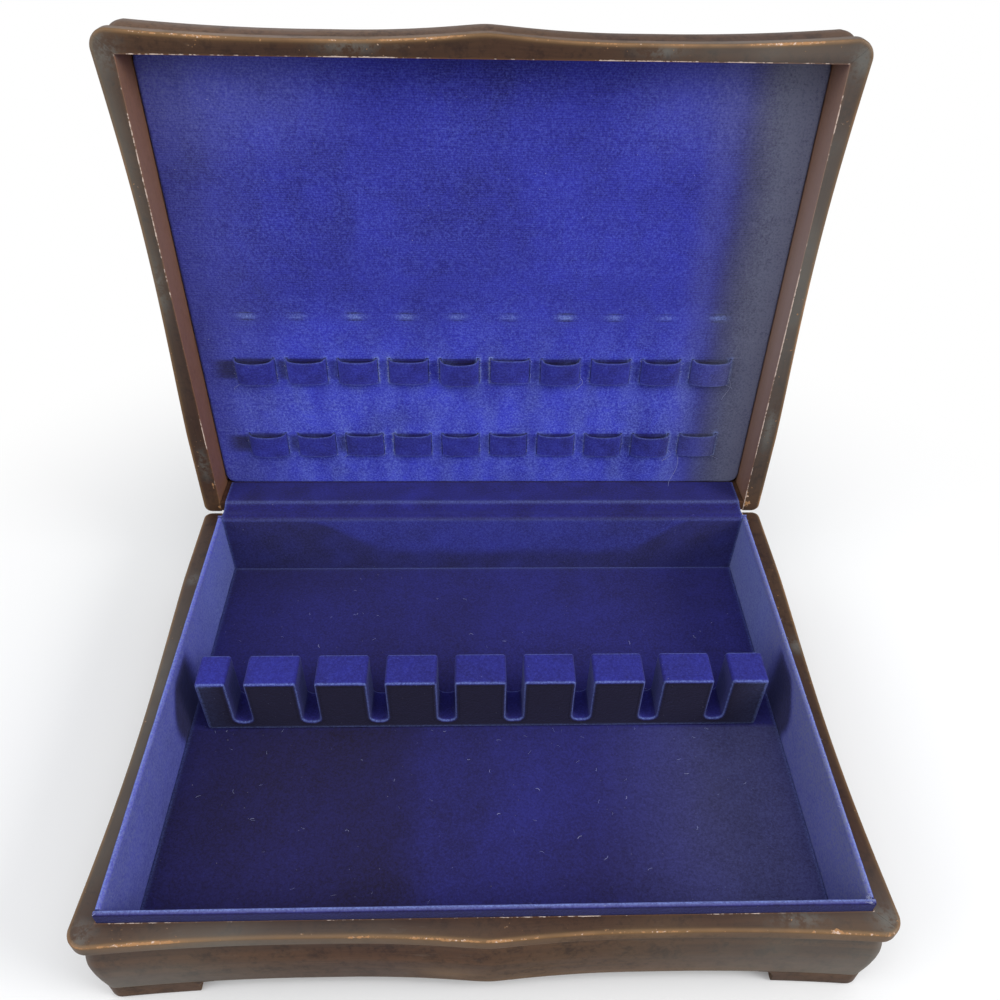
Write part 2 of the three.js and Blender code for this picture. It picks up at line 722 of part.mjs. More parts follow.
// Velvet strip across the hinge line: down the lid's back wall, over the lip, down to the floor
function hingeFlap() {
  const half = FLAP_THICKNESS / 2;
  const away = half + FIT;
  const lip = rimHeight + LIP_HEIGHT;
  const radius = LINER_THICKNESS / 2;
  const lidEdge = whenOpen(lidBack - away, lidRim - away);
  const onLip = new THREE.Vector2(radius, lip + away);
  const sag = lidEdge.clone().add(onLip).divideScalar(2);
  sag.y -= FLAP_SAG;
  const line = [
    whenOpen(lidBack - away, lidPanelFace - away),
    whenOpen(lidBack - away, lidRim + FLAP_THICKNESS),
    lidEdge,
    sag,
    onLip,
  ];
  for (let i = 1; i <= ROUND_STEPS; i++) {
    const angle = ((Math.PI / 2) * i) / ROUND_STEPS;
    const reach = radius + away;
    line.push(new THREE.Vector2(
      radius - reach * Math.sin(angle),
      lip - radius + reach * Math.cos(angle),
    ));
  }
  line.push(new THREE.Vector2(-away, bottomTop + 2 * FIT));
  const halfWidth = INSIDE_WIDTH / 2 - FIT;
  return extrudeAlongX(stripShape(line, FLAP_THICKNESS), -halfWidth, halfWidth);
}

// One leaf with its knuckles: the base leaf has the first, third and fifth, the lid leaf the others
function hingeLeaf(middle, upwards) {
  const side = upwards ? 1 : -1;
  const face = upwards ? lidRim : rimHeight;
  const under = face + side * LEAF_THICKNESS;
  const start = middle - HINGE_LENGTH / 2;
  const step = (HINGE_LENGTH + FIT) / HINGE_KNUCKLES;
  let solid = toSolid(box(
    [start, hingeY - LEAF_WIDTH, Math.min(face, under)],
    [start + HINGE_LENGTH, hingeY, Math.max(face, under)],
  ));
  for (let i = 0; i < HINGE_KNUCKLES; i++) {
    const from = start + i * step;
    const own = (i % 2 === 0) !== upwards;
    const reach = own ? 0 : FIT;
    const knuckle = bar(
      'x',
      own ? BARREL_RADIUS : BARREL_RADIUS + FIT,
      new THREE.Vector3(from - reach, hingeY, hingeZ),
      new THREE.Vector3(from + step - FIT + reach, hingeY, hingeZ),
      BARREL_SIDES,
    );
    solid = own ? solid.add(toSolid(knuckle)) : solid.subtract(toSolid(knuckle));
  }
  const bore = bar(
    'x',
    PIN_RADIUS + FIT,
    new THREE.Vector3(start - OVERRUN, hingeY, hingeZ),
    new THREE.Vector3(start + HINGE_LENGTH + OVERRUN, hingeY, hingeZ),
    PIN_SIDES,
  );
  solid = solid.subtract(toSolid(bore));
  for (const offset of screwOffsets) {
    solid = solid.subtract(toSolid(screwBody(middle + offset, upwards, FIT)));
  }
  return toGeometry(solid);
}

// A countersunk screw turned about Z, grown by a clearance where it is a hole
function screwBody(x, upwards, clearance) {
  const headRadius = SCREW_HEAD_RADIUS + clearance;
  const shankRadius = SCREW_RADIUS + clearance;
  const proud = clearance > 0 ? OVERRUN : 0;
  const outline = [
    new THREE.Vector2(0, -SCREW_LENGTH),
    new THREE.Vector2(shankRadius, -(SCREW_LENGTH - 2 * SCREW_RADIUS)),
    new THREE.Vector2(shankRadius, -SCREW_HEAD_DEPTH),
    new THREE.Vector2(headRadius, 0),
  ];
  if (proud > 0) outline.push(new THREE.Vector2(headRadius, proud));
  outline.push(new THREE.Vector2(0, proud));
  const turned = new THREE.LatheGeometry(outline, PIN_SIDES).rotateX(Math.PI / 2);
  if (upwards) turned.rotateX(Math.PI);
  return turned.translate(x, screwY, upwards ? lidRim : rimHeight);
}

function screw(x, upwards) {
  const face = upwards ? lidRim : rimHeight;
  const slot = box(
    [x - SCREW_HEAD_RADIUS - OVERRUN, screwY - SCREW_SLOT / 2, face - SCREW_SLOT],
    [x + SCREW_HEAD_RADIUS + OVERRUN, screwY + SCREW_SLOT / 2, face + SCREW_SLOT],
  );
  return toGeometry(toSolid(screwBody(x, upwards, 0)).subtract(toSolid(slot)));
}

// Pin with a small round head at each end of the barrel
function hingePin(middle) {
  const end = HINGE_LENGTH / 2 + FIT;
  const at = (x) => new THREE.Vector3(middle + x, hingeY, hingeZ);
  const shaft = toSolid(bar('x', PIN_RADIUS, at(-end - PIN_HEAD_LENGTH / 2), at(end), PIN_SIDES));
  const leftHead = toSolid(bar('x', PIN_HEAD_RADIUS, at(-end - PIN_HEAD_LENGTH), at(-end), PIN_SIDES));
  return toGeometry(shaft.add(leftHead));
}

function piece(group, name, geometry, material) {
  const bare = geometry.index ? geometry.toNonIndexed() : geometry;
  const mesh = new THREE.Mesh(bare, material);
  bare.computeVertexNormals();
  mesh.name = name;
  group.add(mesh);
}

const chest = new THREE.Group();
const base = new THREE.Group();
const lid = new THREE.Group();
chest.add(base, lid);

const baseRight = rightBoard(baseProfile, baseInside, caseHalf, caseFront);
piece(base, 'base_front', frontBoard(baseProfile, baseInside, caseHalf, caseFront), WOOD);
piece(base, 'base_right', baseRight, WOOD);
piece(base, 'base_left', mirrorX(baseRight), WOOD);
piece(base, 'base_back', baseBack(), WOOD);
piece(base, 'base_bottom', baseBottom(), WOOD_BARE);

const band = footBand();
piece(base, 'foot_front_left', foot(band, false, false), WOOD);
piece(base, 'foot_front_right', foot(band, true, false), WOOD);
piece(base, 'foot_back_left', foot(band, false, true), WOOD);
piece(base, 'foot_back_right', foot(band, true, true), WOOD);

const wallInside = INSIDE_WIDTH / 2;
piece(base, 'liner_back', linerAcross(0, LINER_THICKNESS), VELVET);
piece(base, 'liner_front', linerAcross(-INSIDE_DEPTH - LINER_THICKNESS, -INSIDE_DEPTH), VELVET);
piece(base, 'liner_left', linerAlong(-wallInside - LINER_THICKNESS, -wallInside), VELVET);
piece(base, 'liner_right', linerAlong(wallInside, wallInside + LINER_THICKNESS), VELVET);
piece(base, 'floor_pad', floorPad(), VELVET_DARK);
piece(base, 'silver_rack', silverRack(), VELVET_DARK);

const lidRight = rightBoard(lidProfile, lidInside, lidHalf, lidFront);
piece(lid, 'lid_front', frontBoard(lidProfile, lidInside, lidHalf, lidFront), WOOD);
piece(lid, 'lid_right', lidRight, WOOD);
piece(lid, 'lid_left', mirrorX(lidRight), WOOD);
piece(lid, 'lid_back', lidBackBoard(), WOOD);
piece(lid, 'lid_top', lidTop(), WOOD);
piece(lid, 'lid_panel', lidPanel(), VELVET);
piece(lid, 'upper_loop_band', loopBand(UPPER_ROW_FROM_BACK), VELVET);
piece(lid, 'lower_loop_band', loopBand(LOWER_ROW_FROM_BACK), VELVET);
piece(base, 'hinge_flap', hingeFlap(), VELVET);

for (const [name, middle] of [['left', hingeMiddles[0]], ['right', hingeMiddles[1]]]) {
  piece(base, `${name}_hinge_base_leaf`, hingeLeaf(middle, false), BRASS);
  piece(base, `${name}_hinge_pin`, hingePin(middle), BRASS);
  piece(lid, `${name}_hinge_lid_leaf`, hingeLeaf(middle, true), BRASS);
  screwOffsets.forEach((offset, i) => {
    piece(base, `${name}_base_screw_${i + 1}`, screw(middle + offset, false), BRASS);
    piece(lid, `${name}_lid_screw_${i + 1}`, screw(middle + offset, true), BRASS);
  });
}

// The lid's pieces are made closed, and turn about the hinge pins to the open pose
for (const mesh of lid.children) mesh.position.set(0, -hingeY, -hingeZ);
lid.position.set(0, hingeY, hingeZ);
lid.rotation.x = -openAngle;

// The origin lies on the table, under the middle of the open chest
chest.updateMatrixWorld(true);
const room = new THREE.Box3().setFromObject(chest, true);
const centre = room.getCenter(new THREE.Vector3());
chest.position.set(-centre.x, -centre.y, -room.min.z);

export default chest;
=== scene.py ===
"""Dresses a silverware chest: moulded mahogany boards, royal blue velvet and brass butt hinges."""

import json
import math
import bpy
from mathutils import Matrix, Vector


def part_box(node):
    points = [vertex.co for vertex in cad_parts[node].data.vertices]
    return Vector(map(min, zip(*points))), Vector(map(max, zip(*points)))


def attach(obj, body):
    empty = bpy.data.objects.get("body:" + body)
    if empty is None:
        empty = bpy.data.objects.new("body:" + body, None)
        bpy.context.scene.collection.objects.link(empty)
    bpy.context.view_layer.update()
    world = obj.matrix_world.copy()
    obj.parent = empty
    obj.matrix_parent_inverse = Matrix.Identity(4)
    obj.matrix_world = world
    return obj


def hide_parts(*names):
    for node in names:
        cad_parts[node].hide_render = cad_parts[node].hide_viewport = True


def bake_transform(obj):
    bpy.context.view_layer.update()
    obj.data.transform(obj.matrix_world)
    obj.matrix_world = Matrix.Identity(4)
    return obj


bl_info = {
    "name": "Silverware Chest",
    "version": (1, 0, 0),
    "blender": (4, 5, 0),
    "location": "View3D > Sidebar > Chest",
    "description": "Makes the wood, velvet and brass of a serpentine silverware chest",
    "category": "Object",
}

import bmesh
import bpy
import numpy as np
from bpy.props import FloatProperty, FloatVectorProperty, IntProperty, PointerProperty
from mathutils import Euler, Matrix, Vector

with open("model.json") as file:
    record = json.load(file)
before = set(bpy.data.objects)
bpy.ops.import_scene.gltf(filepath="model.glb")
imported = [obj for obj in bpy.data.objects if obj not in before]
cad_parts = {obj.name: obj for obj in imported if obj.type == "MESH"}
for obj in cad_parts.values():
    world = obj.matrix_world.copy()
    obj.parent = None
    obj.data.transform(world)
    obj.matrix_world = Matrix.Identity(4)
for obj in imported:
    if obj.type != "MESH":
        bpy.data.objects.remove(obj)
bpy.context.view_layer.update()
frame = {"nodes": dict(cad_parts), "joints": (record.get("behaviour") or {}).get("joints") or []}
MM = 0.001

# The lid turns about this line, and stands open by this angle at rest
LID_HINGE = next(j for j in frame["joints"] if j["name"] == "lid_hinge")
PIVOT = Vector(LID_HINGE["pos_m"])
OPEN_ANGLE = math.radians(LID_HINGE["range_deg"][1])
OPEN_TURN = Matrix.Rotation(-OPEN_ANGLE, 4, "X")
OPEN = Matrix.Translation(PIVOT) @ OPEN_TURN @ Matrix.Translation(-PIVOT)


def moved(points, turn):
    """Points after a turn that is given as a matrix."""
    turn = np.array(turn)
    return points @ turn[:3, :3].T + turn[:3, 3]


def closed_box(node):
    """Lowest and highest corner of a lid node with the lid turned down."""
    points = np.array([v.co for v in frame["nodes"][node].data.vertices])
    points = moved(points, OPEN.inverted())
    return points.min(0), points.max(0)


def length(value, name, note):
    return FloatProperty(name=name, description=note, default=value, unit="LENGTH", precision=5)


def tint(value, name, note):
    return FloatVectorProperty(
        name=name, description=note, default=value, subtype="COLOR", size=3, min=0, max=1
    )


class CHEST_PG_case(bpy.types.PropertyGroup):
    """Sizes of the moulded case, the same for base and lid where both have them."""

    corner_radius: length(0.010, "Corner radius", "Round of the front corners")
    back_radius: length(0.004, "Back corner radius", "Round of the back corners")
    side_sweep: length(0.0036, "Side sweep", "Depth of the sweep along each side")
    side_power: FloatProperty(
        name="Side power", description="Draws the side sweep towards the front", default=1.25
    )
    knee: length(0.062, "Knee", "Straight stretch of each side, from the back")
    front_sweep: length(0.0036, "Front sweep", "Depth of the two sweeps of the front")
    crest_half: length(0.070, "Crest", "Half width of the crest in the front")
    crest_round: length(0.005, "Crest round", "Softness of the crest's point")
    flare_width: length(0.096, "Flare", "Width of the flare beside each front corner")
    flange_height: length(0.008, "Flange height", "Height of the flat flange at the rim")
    flange_round: length(0.0015, "Flange round", "Round of the flange's edges")
    quirk_inset: length(0.0036, "Quirk inset", "Depth of the quirk under the flange")
    quirk_height: length(0.005, "Quirk height", "Height of the quirk")
    swell_inset: length(0.001, "Swell inset", "How far the swelling stands back")
    base_swell: length(0.018, "Base swell", "Height from quirk to swelling in the base")
    lid_swell: length(0.013, "Lid swell", "Height from quirk to swelling in the lid")
    skirt_inset: length(0.003, "Skirt inset", "How far the base's lower edge stands back")
    shoulder_inset: length(0.0014, "Shoulder inset", "How far the lid's shoulder stands back")
    lid_edge_round: length(0.006, "Lid edge round", "Round of the lid's top edge")
    foot_arm: length(0.050, "Foot arm", "Length of a foot's arm from the corner")
    foot_cove: length(0.009, "Foot cove", "Radius of the cove that ends an arm")
    foot_round: length(0.002, "Foot round", "Round of the feet's lower edge")
    groove_depth: length(0.003, "Groove depth", "Depth of the groove for the bottom")
    joint_gap: length(0.0003, "Joint gap", "Room round a board in its groove")
    mitre_gap: length(0.00006, "Mitre gap", "Hairline in a mitre")


class CHEST_PG_lining(bpy.types.PropertyGroup):
    """Sizes of the velvet pieces."""

    edge_round: length(0.0018, "Edge round", "Round of a velvet board's edges")
    crown_drop: length(0.0016, "Crown drop", "How far the floor pad's top falls to its edges")
    crown_reach: length(0.010, "Crown reach", "How far in the floor pad's top starts to fall")
    panel_corner: length(0.007, "Panel corner", "Corner radius of the lid panel")
    rack_round: length(0.0021, "Rack round", "Round of the rack's edges under velvet")
    slot_width: length(0.0106, "Slot width", "Width of a slot in the rack")
    slot_floor: length(0.007, "Slot floor", "Wood left under a slot")
    slot_corner: length(0.004, "Slot corner", "Radius at the foot of a slot")
    left_slot: length(0.0233, "Left slot inset", "First slot from the rack's left end")
    right_slot: length(0.0278, "Right slot inset", "Last slot from the rack's right end")
    loop_inset: length(0.03245, "Loop inset", "Outer loops from the base's velvet walls")
    loop_gap: length(0.0075, "Loop gap", "Gap between two loops")
    ribbon: length(0.001, "Ribbon", "Thickness of the ribbon")
    flap: length(0.0008, "Flap", "Thickness of the hinge flap's cloth")
    slots: IntProperty(name="Slots", description="Slots in the rack", default=8, min=1)
    loops: IntProperty(name="Loops", description="Loops in a row", default=10, min=1)


class CHEST_PG_colours(bpy.types.PropertyGroup):
    """Colours of wood, velvet and brass."""

    stain: tint((0.052, 0.0255, 0.019), "Stain", "Mahogany stain")
    grain: tint((0.020, 0.010, 0.010), "Grain", "Dark pores and figure")
    red: tint((0.098, 0.045, 0.024), "Red", "Red lights in the figure")
    # Haze is also the warm tint of a painted highlight along the lid's top edge
    haze: tint((0.185, 0.112, 0.046), "Haze", "Dulled lacquer")
    inner: tint((0.250, 0.115, 0.065), "Inner wood", "Thinly stained inside of the lid")
    bare: tint((0.38, 0.20, 0.09), "Bare wood", "Wood where the finish is chipped")
    chalk: tint((0.70, 0.56, 0.48), "Chalk", "Pale chips along the inner edges")
    bloom: tint((0.20, 0.205, 0.19), "Bloom", "Grey bruises in the lacquer")
    # Deep is also the colour of painted shade on the velvet, and royal the colour of painted light
    deep: tint((0.013, 0.0085, 0.013), "Deep velvet", "Velvet seen into the pile")
    royal: tint((0.056, 0.066, 0.775), "Royal velvet", "Velvet seen along the pile")
    # Worn is also the colour of painted highlights on the pile's tips
    worn: tint((0.200, 0.270, 0.62), "Worn velvet", "Worn edges and crushed pile")
    # This is also the colour of a painted reflection on the velvet
    dust: tint((0.172, 0.184, 0.275), "Dusty velvet", "Dull, dusty margins")
    lint: tint((0.60, 0.60, 0.66), "Lint", "Pale threads and lint")
    brass: tint((0.52, 0.37, 0.15), "Brass", "Hinge leaves and screws")
    tarnish: tint((0.14, 0.085, 0.035), "Tarnish", "Dark spots on the brass")
    floor: tint((0.86, 0.86, 0.86), "Floor", "Floor and backdrop")
    shade: tint((0.56, 0.54, 0.51), "Shade", "What the floor throws back on the chest")


def smooth(low, high, value):
    """0 below low and 1 above high, with a soft change between."""
    share = np.clip((value - low) / (high - low), 0, 1)
    return share * share * (3 - 2 * share)


def band(rise, full, fall, end, value):
    """0 outside a band and 1 in it, with a soft change at both of its edges."""
    return smooth(rise, full, value) * (1 - smooth(fall, end, value))


def hill(value, width):
    """1 where the value is 0, and falls softly on both sides of it."""
    return np.exp(-((value / width) ** 2))


def quarter(steps):
    """Angles from 0 to a right angle."""
    return np.linspace(0, math.pi / 2, steps + 1)


# How many waves make a ripple, how their lengths vary, and what brings their sum to about 1
WAVES, STRETCHES, WAVE_SUM = 7, (0.6, 1.7), 4


def ripple(x, y, spacing, seed):
    """Soft waves from -1 to 1 over a surface, about one spacing apart."""
    draw = np.random.default_rng(seed)
    total = np.zeros(np.broadcast(x, y).shape)
    for _ in range(WAVES):
        turn, phase = draw.uniform(0, 2 * math.pi, 2)
        stretch = draw.uniform(*STRETCHES) * 2 * math.pi / spacing
        total = total + np.sin((x * math.cos(turn) + y * math.sin(turn)) * stretch + phase)
    return total / WAVE_SUM


# Points of a mesh that lie closer than this are made one
WELD = 0.002 * MM


def make_piece(name, points, faces, place, finish, marks, sharp=35, turn=None):
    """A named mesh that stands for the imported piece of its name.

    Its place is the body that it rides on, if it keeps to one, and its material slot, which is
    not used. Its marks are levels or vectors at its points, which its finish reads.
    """
    mesh = bpy.data.meshes.new(name)
    mesh.from_pydata(np.reshape(points, (-1, 3)).tolist(), [], faces)
    for mark, values in marks.items():
        values = np.asarray(values, dtype=np.float32)
        kind, field = ("FLOAT_VECTOR", "vector") if values.ndim > 1 else ("FLOAT", "value")
        mesh.attributes.new(mark, kind, "POINT").data.foreach_set(field, values.ravel())
    build = bmesh.new()
    build.from_mesh(mesh)
    bmesh.ops.remove_doubles(build, verts=build.verts, dist=WELD)
    bmesh.ops.delete(build, geom=[v for v in build.verts if not v.link_faces], context="VERTS")
    bmesh.ops.recalc_face_normals(build, faces=build.faces)
    build.to_mesh(mesh)
    build.free()
    if turn is not None:
        mesh.transform(turn)
    mesh.shade_smooth()
    mesh.set_sharp_from_angle(angle=math.radians(sharp))
    mesh.materials.append(finish_named(finish))
    piece = bpy.data.objects.new(name, mesh)
    bpy.context.scene.collection.objects.link(piece)
    weights = piece.modifiers.new("even_normals", "WEIGHTED_NORMAL")
    weights.keep_sharp = True
    body, slot = place
    if body:
        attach(piece, body)
    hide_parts(name)
    return piece


def loft_faces(rings, points_per_ring):
    """Quads round a row of closed rings, and a face over each end."""
    faces = []
    for r in range(rings - 1):
        for i in range(points_per_ring):
            j = (i + 1) % points_per_ring
            a, b = r * points_per_ring, (r + 1) * points_per_ring
            faces.append((a + i, a + j, b + j, b + i))
    last = (rings - 1) * points_per_ring
    faces.append(tuple(reversed(range(points_per_ring))))
    faces.append(tuple(range(last, last + points_per_ring)))
    return faces


def shell_faces(shape, kept=True):
    """Faces of a closed shell between two grids of points, without the cells that aren't kept."""
    rows, columns = shape
    lift = rows * columns
    faces = []
    rim = set()
    for i, j in zip(*np.nonzero(np.broadcast_to(kept, (rows - 1, columns - 1)))):
        a = int(i) * columns + int(j)
        ring = (a, a + columns, a + columns + 1, a + 1)
        faces.append(ring)
        faces.append(tuple(k + lift for k in reversed(ring)))
        for edge in zip(ring, ring[1:] + ring[:1]):
            if edge[::-1] in rim:
                rim.remove(edge[::-1])
            else:
                rim.add(edge)
    faces.extend((b, a, a + lift, b + lift) for a, b in sorted(rim))
    return faces


class Value:
    """A node's socket that does arithmetic: each operator adds its Math node."""

    def __init__(self, grower, socket):
        self.grower = grower
        self.socket = socket

    def __add__(self, other):
        return self.grower.math("ADD", self, other)

    def __sub__(self, other):
        return self.grower.math("SUBTRACT", self, other)

    def __rsub__(self, other):
        return self.grower.math("SUBTRACT", other, self)

    def __mul__(self, other):
        return self.grower.math("MULTIPLY", self, other)

    def __pow__(self, other):
        return self.grower.math("POWER", self, other)

    __radd__ = __add__
    __rmul__ = __mul__

    def low(self, other):
        return self.grower.math("MINIMUM", self, other)

    def high(self, other):
        return self.grower.math("MAXIMUM", self, other)


class Grower:
    """Fills a node tree."""

    def __init__(self, tree):
        self.tree = tree

    def node(self, kind, settings=None, sockets=None, out=0):
        """Adds a node, sets it up, plugs its sockets and hands back one of its outputs."""
        made = self.tree.nodes.new(kind)
        for key, value in (settings or {}).items():
            setattr(made, key, value)
        for key, value in (sockets or {}).items():
            self.plug(made.inputs[key], value)
        return Value(self, made.outputs[out]) if made.outputs else None

    def plug(self, socket, value):
        """Links a value to a socket, or sets the socket to a constant."""
        if isinstance(value, Value):
            self.tree.links.new(value.socket, socket)
        elif socket.type == "RGBA":
            socket.default_value = (*value, 1)
        elif socket.type == "ROTATION":
            socket.default_value = Euler(value)
        else:
            socket.default_value = value

    def other_output(self, value, name):
        """Another output of the node that a value comes from."""
        return Value(self, value.socket.node.outputs[name])

    def math(self, operation, *values):
        return self.node("ShaderNodeMath", {"operation": operation}, dict(enumerate(values)))


class Finish(Grower):
    """Fills the node tree of a material or of the world."""

    def __init__(self, owner):
        owner.use_nodes = True
        owner.node_tree.nodes.clear()
        super().__init__(owner.node_tree)

    def places(self):
        """Each point's place on the chest, in metres."""
        return self.node("ShaderNodeTexCoord", out="Object")

    def mark(self, name):
        """One of the levels that make_piece keeps at a piece's points."""
        return self.node("ShaderNodeAttribute", {"attribute_name": name}, out="Fac")

    def direction(self, name):
        """One of the vectors that make_piece keeps at a piece's points."""
        return self.node("ShaderNodeAttribute", {"attribute_name": name}, out="Vector")

    def stretch(self, vector, scale):
        return self.node("ShaderNodeMapping", None, {"Vector": vector, "Scale": scale})

    def noise(self, vector, scale, detail=2, roughness=0.5, distortion=0):
        sockets = {
            "Vector": vector, "Scale": scale, "Detail": detail,
            "Roughness": roughness, "Distortion": distortion,
        }
        return self.node("ShaderNodeTexNoise", None, sockets)

    def step(self, value, low, high):
        """0 below low and 1 above high, with a soft change between."""
        settings = {"interpolation_type": "SMOOTHSTEP"}
        sockets = {"Value": value, "From Min": low, "From Max": high}
        return self.node("ShaderNodeMapRange", settings, sockets)

    def blend(self, share, first, second):
        """From the first colour at 0 to the second at 1."""
        settings = {"data_type": "RGBA", "clamp_factor": True}
        return self.node("ShaderNodeMix", settings, {0: share, 6: first, 7: second}, out=2)

    def coat(self, share, colour):
        """Lays a colour over the one so far."""
        self.colour = self.blend(share, self.colour, colour)

    def bump(self, height, distance, strength):
        sockets = {"Height": height, "Distance": distance, "Strength": strength}
        return self.node("ShaderNodeBump", None, sockets)

    def surface(self, sockets):
        """Ends the material in one Principled shader with the colour so far."""
        sockets = {"Base Color": self.colour, **sockets}
        shader = self.node("ShaderNodeBsdfPrincipled", None, sockets)
        self.node("ShaderNodeOutputMaterial", None, {"Surface": shader})


def mahogany(wood, colours, marked):
    """Stained mahogany under tired lacquer. Marked pieces carry their grain and their wear."""
    along = wood.direction("grain") if marked else wood.places()

    # Stain, figure and a clouded film of lacquer
    pores = wood.noise(wood.stretch(along, (16, 520, 520)), 2.2, 4, 0.6)
    figure = wood.noise(wood.stretch(along, (2.2, 70, 70)), 2.0, 3, 0.5, 0.3)
    cloud = wood.noise(wood.places(), 11, 3, 0.6)
    grime = wood.noise(wood.places(), 90, 4, 0.65)
    crumbs = wood.noise(wood.places(), 360, 4, 0.7)
    wood.colour = wood.blend(wood.step(figure, 0.25, 0.75), colours.stain, colours.red)
    wood.coat(wood.step(pores, 0.50, 0.72) * 0.5, colours.grain)
    film = wood.step(cloud, 0.3, 0.75) * (0.3 + grime * 0.8)
    wood.coat(film * 0.34, colours.haze)
    wood.coat(wood.step(grime, 0.50, 0.72) * 0.45, colours.grain)
    rough = 0.30 + film * 0.2 + grime * 0.2
    height = pores * -0.4 + grime * 0.35
    if marked:
        # Raw inner faces and dark rims
        raw, rim, arris = wood.mark("raw"), wood.mark("rim"), wood.mark("arris")
        rubbed = wood.mark("rub") * (1 - rim * 0.7)
        wood.coat(raw * (0.55 + pores * 0.5), colours.inner)
        wood.coat(rim * 0.42, colours.grain)

        # Bruises, dust, dirt and the broad grey film, which is partly a painted reflection
        smear = wood.mark("bloom") * wood.step(grime * 0.6 + crumbs * 0.4, 0.40, 0.62)
        dusty = wood.step(wood.noise(wood.stretch(along, (30, 120, 120)), 2, 4, 0.7), 0.58, 0.80)
        wood.coat((smear * 0.7).high(dusty * 0.16), colours.bloom)
        patches = wood.step(wood.noise(wood.places(), 17, 3, 0.6), 0.46, 0.62)
        dirt = wood.step(crumbs * 0.6 + grime * 0.4, 0.46, 0.66)
        wood.coat(dirt * (0.42 - raw * 0.3).high(0), colours.grain)
        veil = wood.mark("veil")
        wood.coat(veil * (0.32 + film * 0.5) * (1 - raw * 0.6), colours.bloom)
        wood.coat(veil * raw * 0.30, colours.chalk)

        # Edges that hands have rubbed, with a painted warm highlight along the lid's top edge
        wood.coat(arris * (0.16 + grime * 0.4) + rubbed * 0.25, colours.haze)
        wood.coat(rubbed * 0.16, colours.bare)
        wood.coat(arris**4 * (0.10 + patches * 0.40), colours.bare)

        # Chips down to bare wood, paler along the inner edges
        worn = arris * (0.34 + patches * 0.28 + rubbed * 0.60)
        tan = wood.step(worn + (crumbs - 0.5) * 1.1, 0.80, 0.90)
        flecks = wood.step(wood.noise(wood.places(), 520, 2, 0.5), 0.70, 0.74)
        flecked = arris * 0.5 + rim * 0.3 + patches * 0.3 + rubbed * 0.3
        speck = wood.step(flecked, 0.45, 0.6) * flecks
        lip = wood.mark("lip") * (0.72 + patches * 0.3) + (crumbs - 0.5) * 1.2
        chalk = wood.step(lip, 0.80, 0.92)
        gash = wood.step(wood.mark("gash") * 1.1 + (crumbs - 0.5) * 2.0, 0.80, 0.90)
        chips = tan.high(speck * 0.8).high(gash)
        pale = wood.step(wood.noise(wood.places(), 700, 2, 0.5), 0.56, 0.74)
        wood.coat(chips, wood.blend(pale, colours.bare, colours.chalk))
        wood.coat(chalk * 0.85, colours.chalk)
        rough = rough + (chips + chalk + raw * 0.3) * 0.25
        height = height - (tan + chalk) * 0.8 - gash * 1.6
    wood.surface({
        "Roughness": rough.low(0.9),
        "Normal": wood.bump(height, 0.10 * MM, 0.6),
        "Specular IOR Level": 0.16,
        "Coat Weight": 0.03,
        "Coat Roughness": 0.22,
    })


def bare_panel(wood, colours):
    """The unlacquered bottom panel."""
    pores = wood.noise(wood.stretch(wood.places(), (9, 300, 300)), 2.2, 5, 0.6)
    cloud = wood.noise(wood.places(), 12, 3, 0.6)
    wood.colour = wood.blend(wood.step(pores, 0.4, 0.7), colours.red, colours.grain)
    wood.coat(cloud * 0.5, colours.haze)
    wood.surface({
        "Roughness": 0.62 + cloud * 0.2,
        "Normal": wood.bump(pores, 0.15 * MM, 0.6),
    })


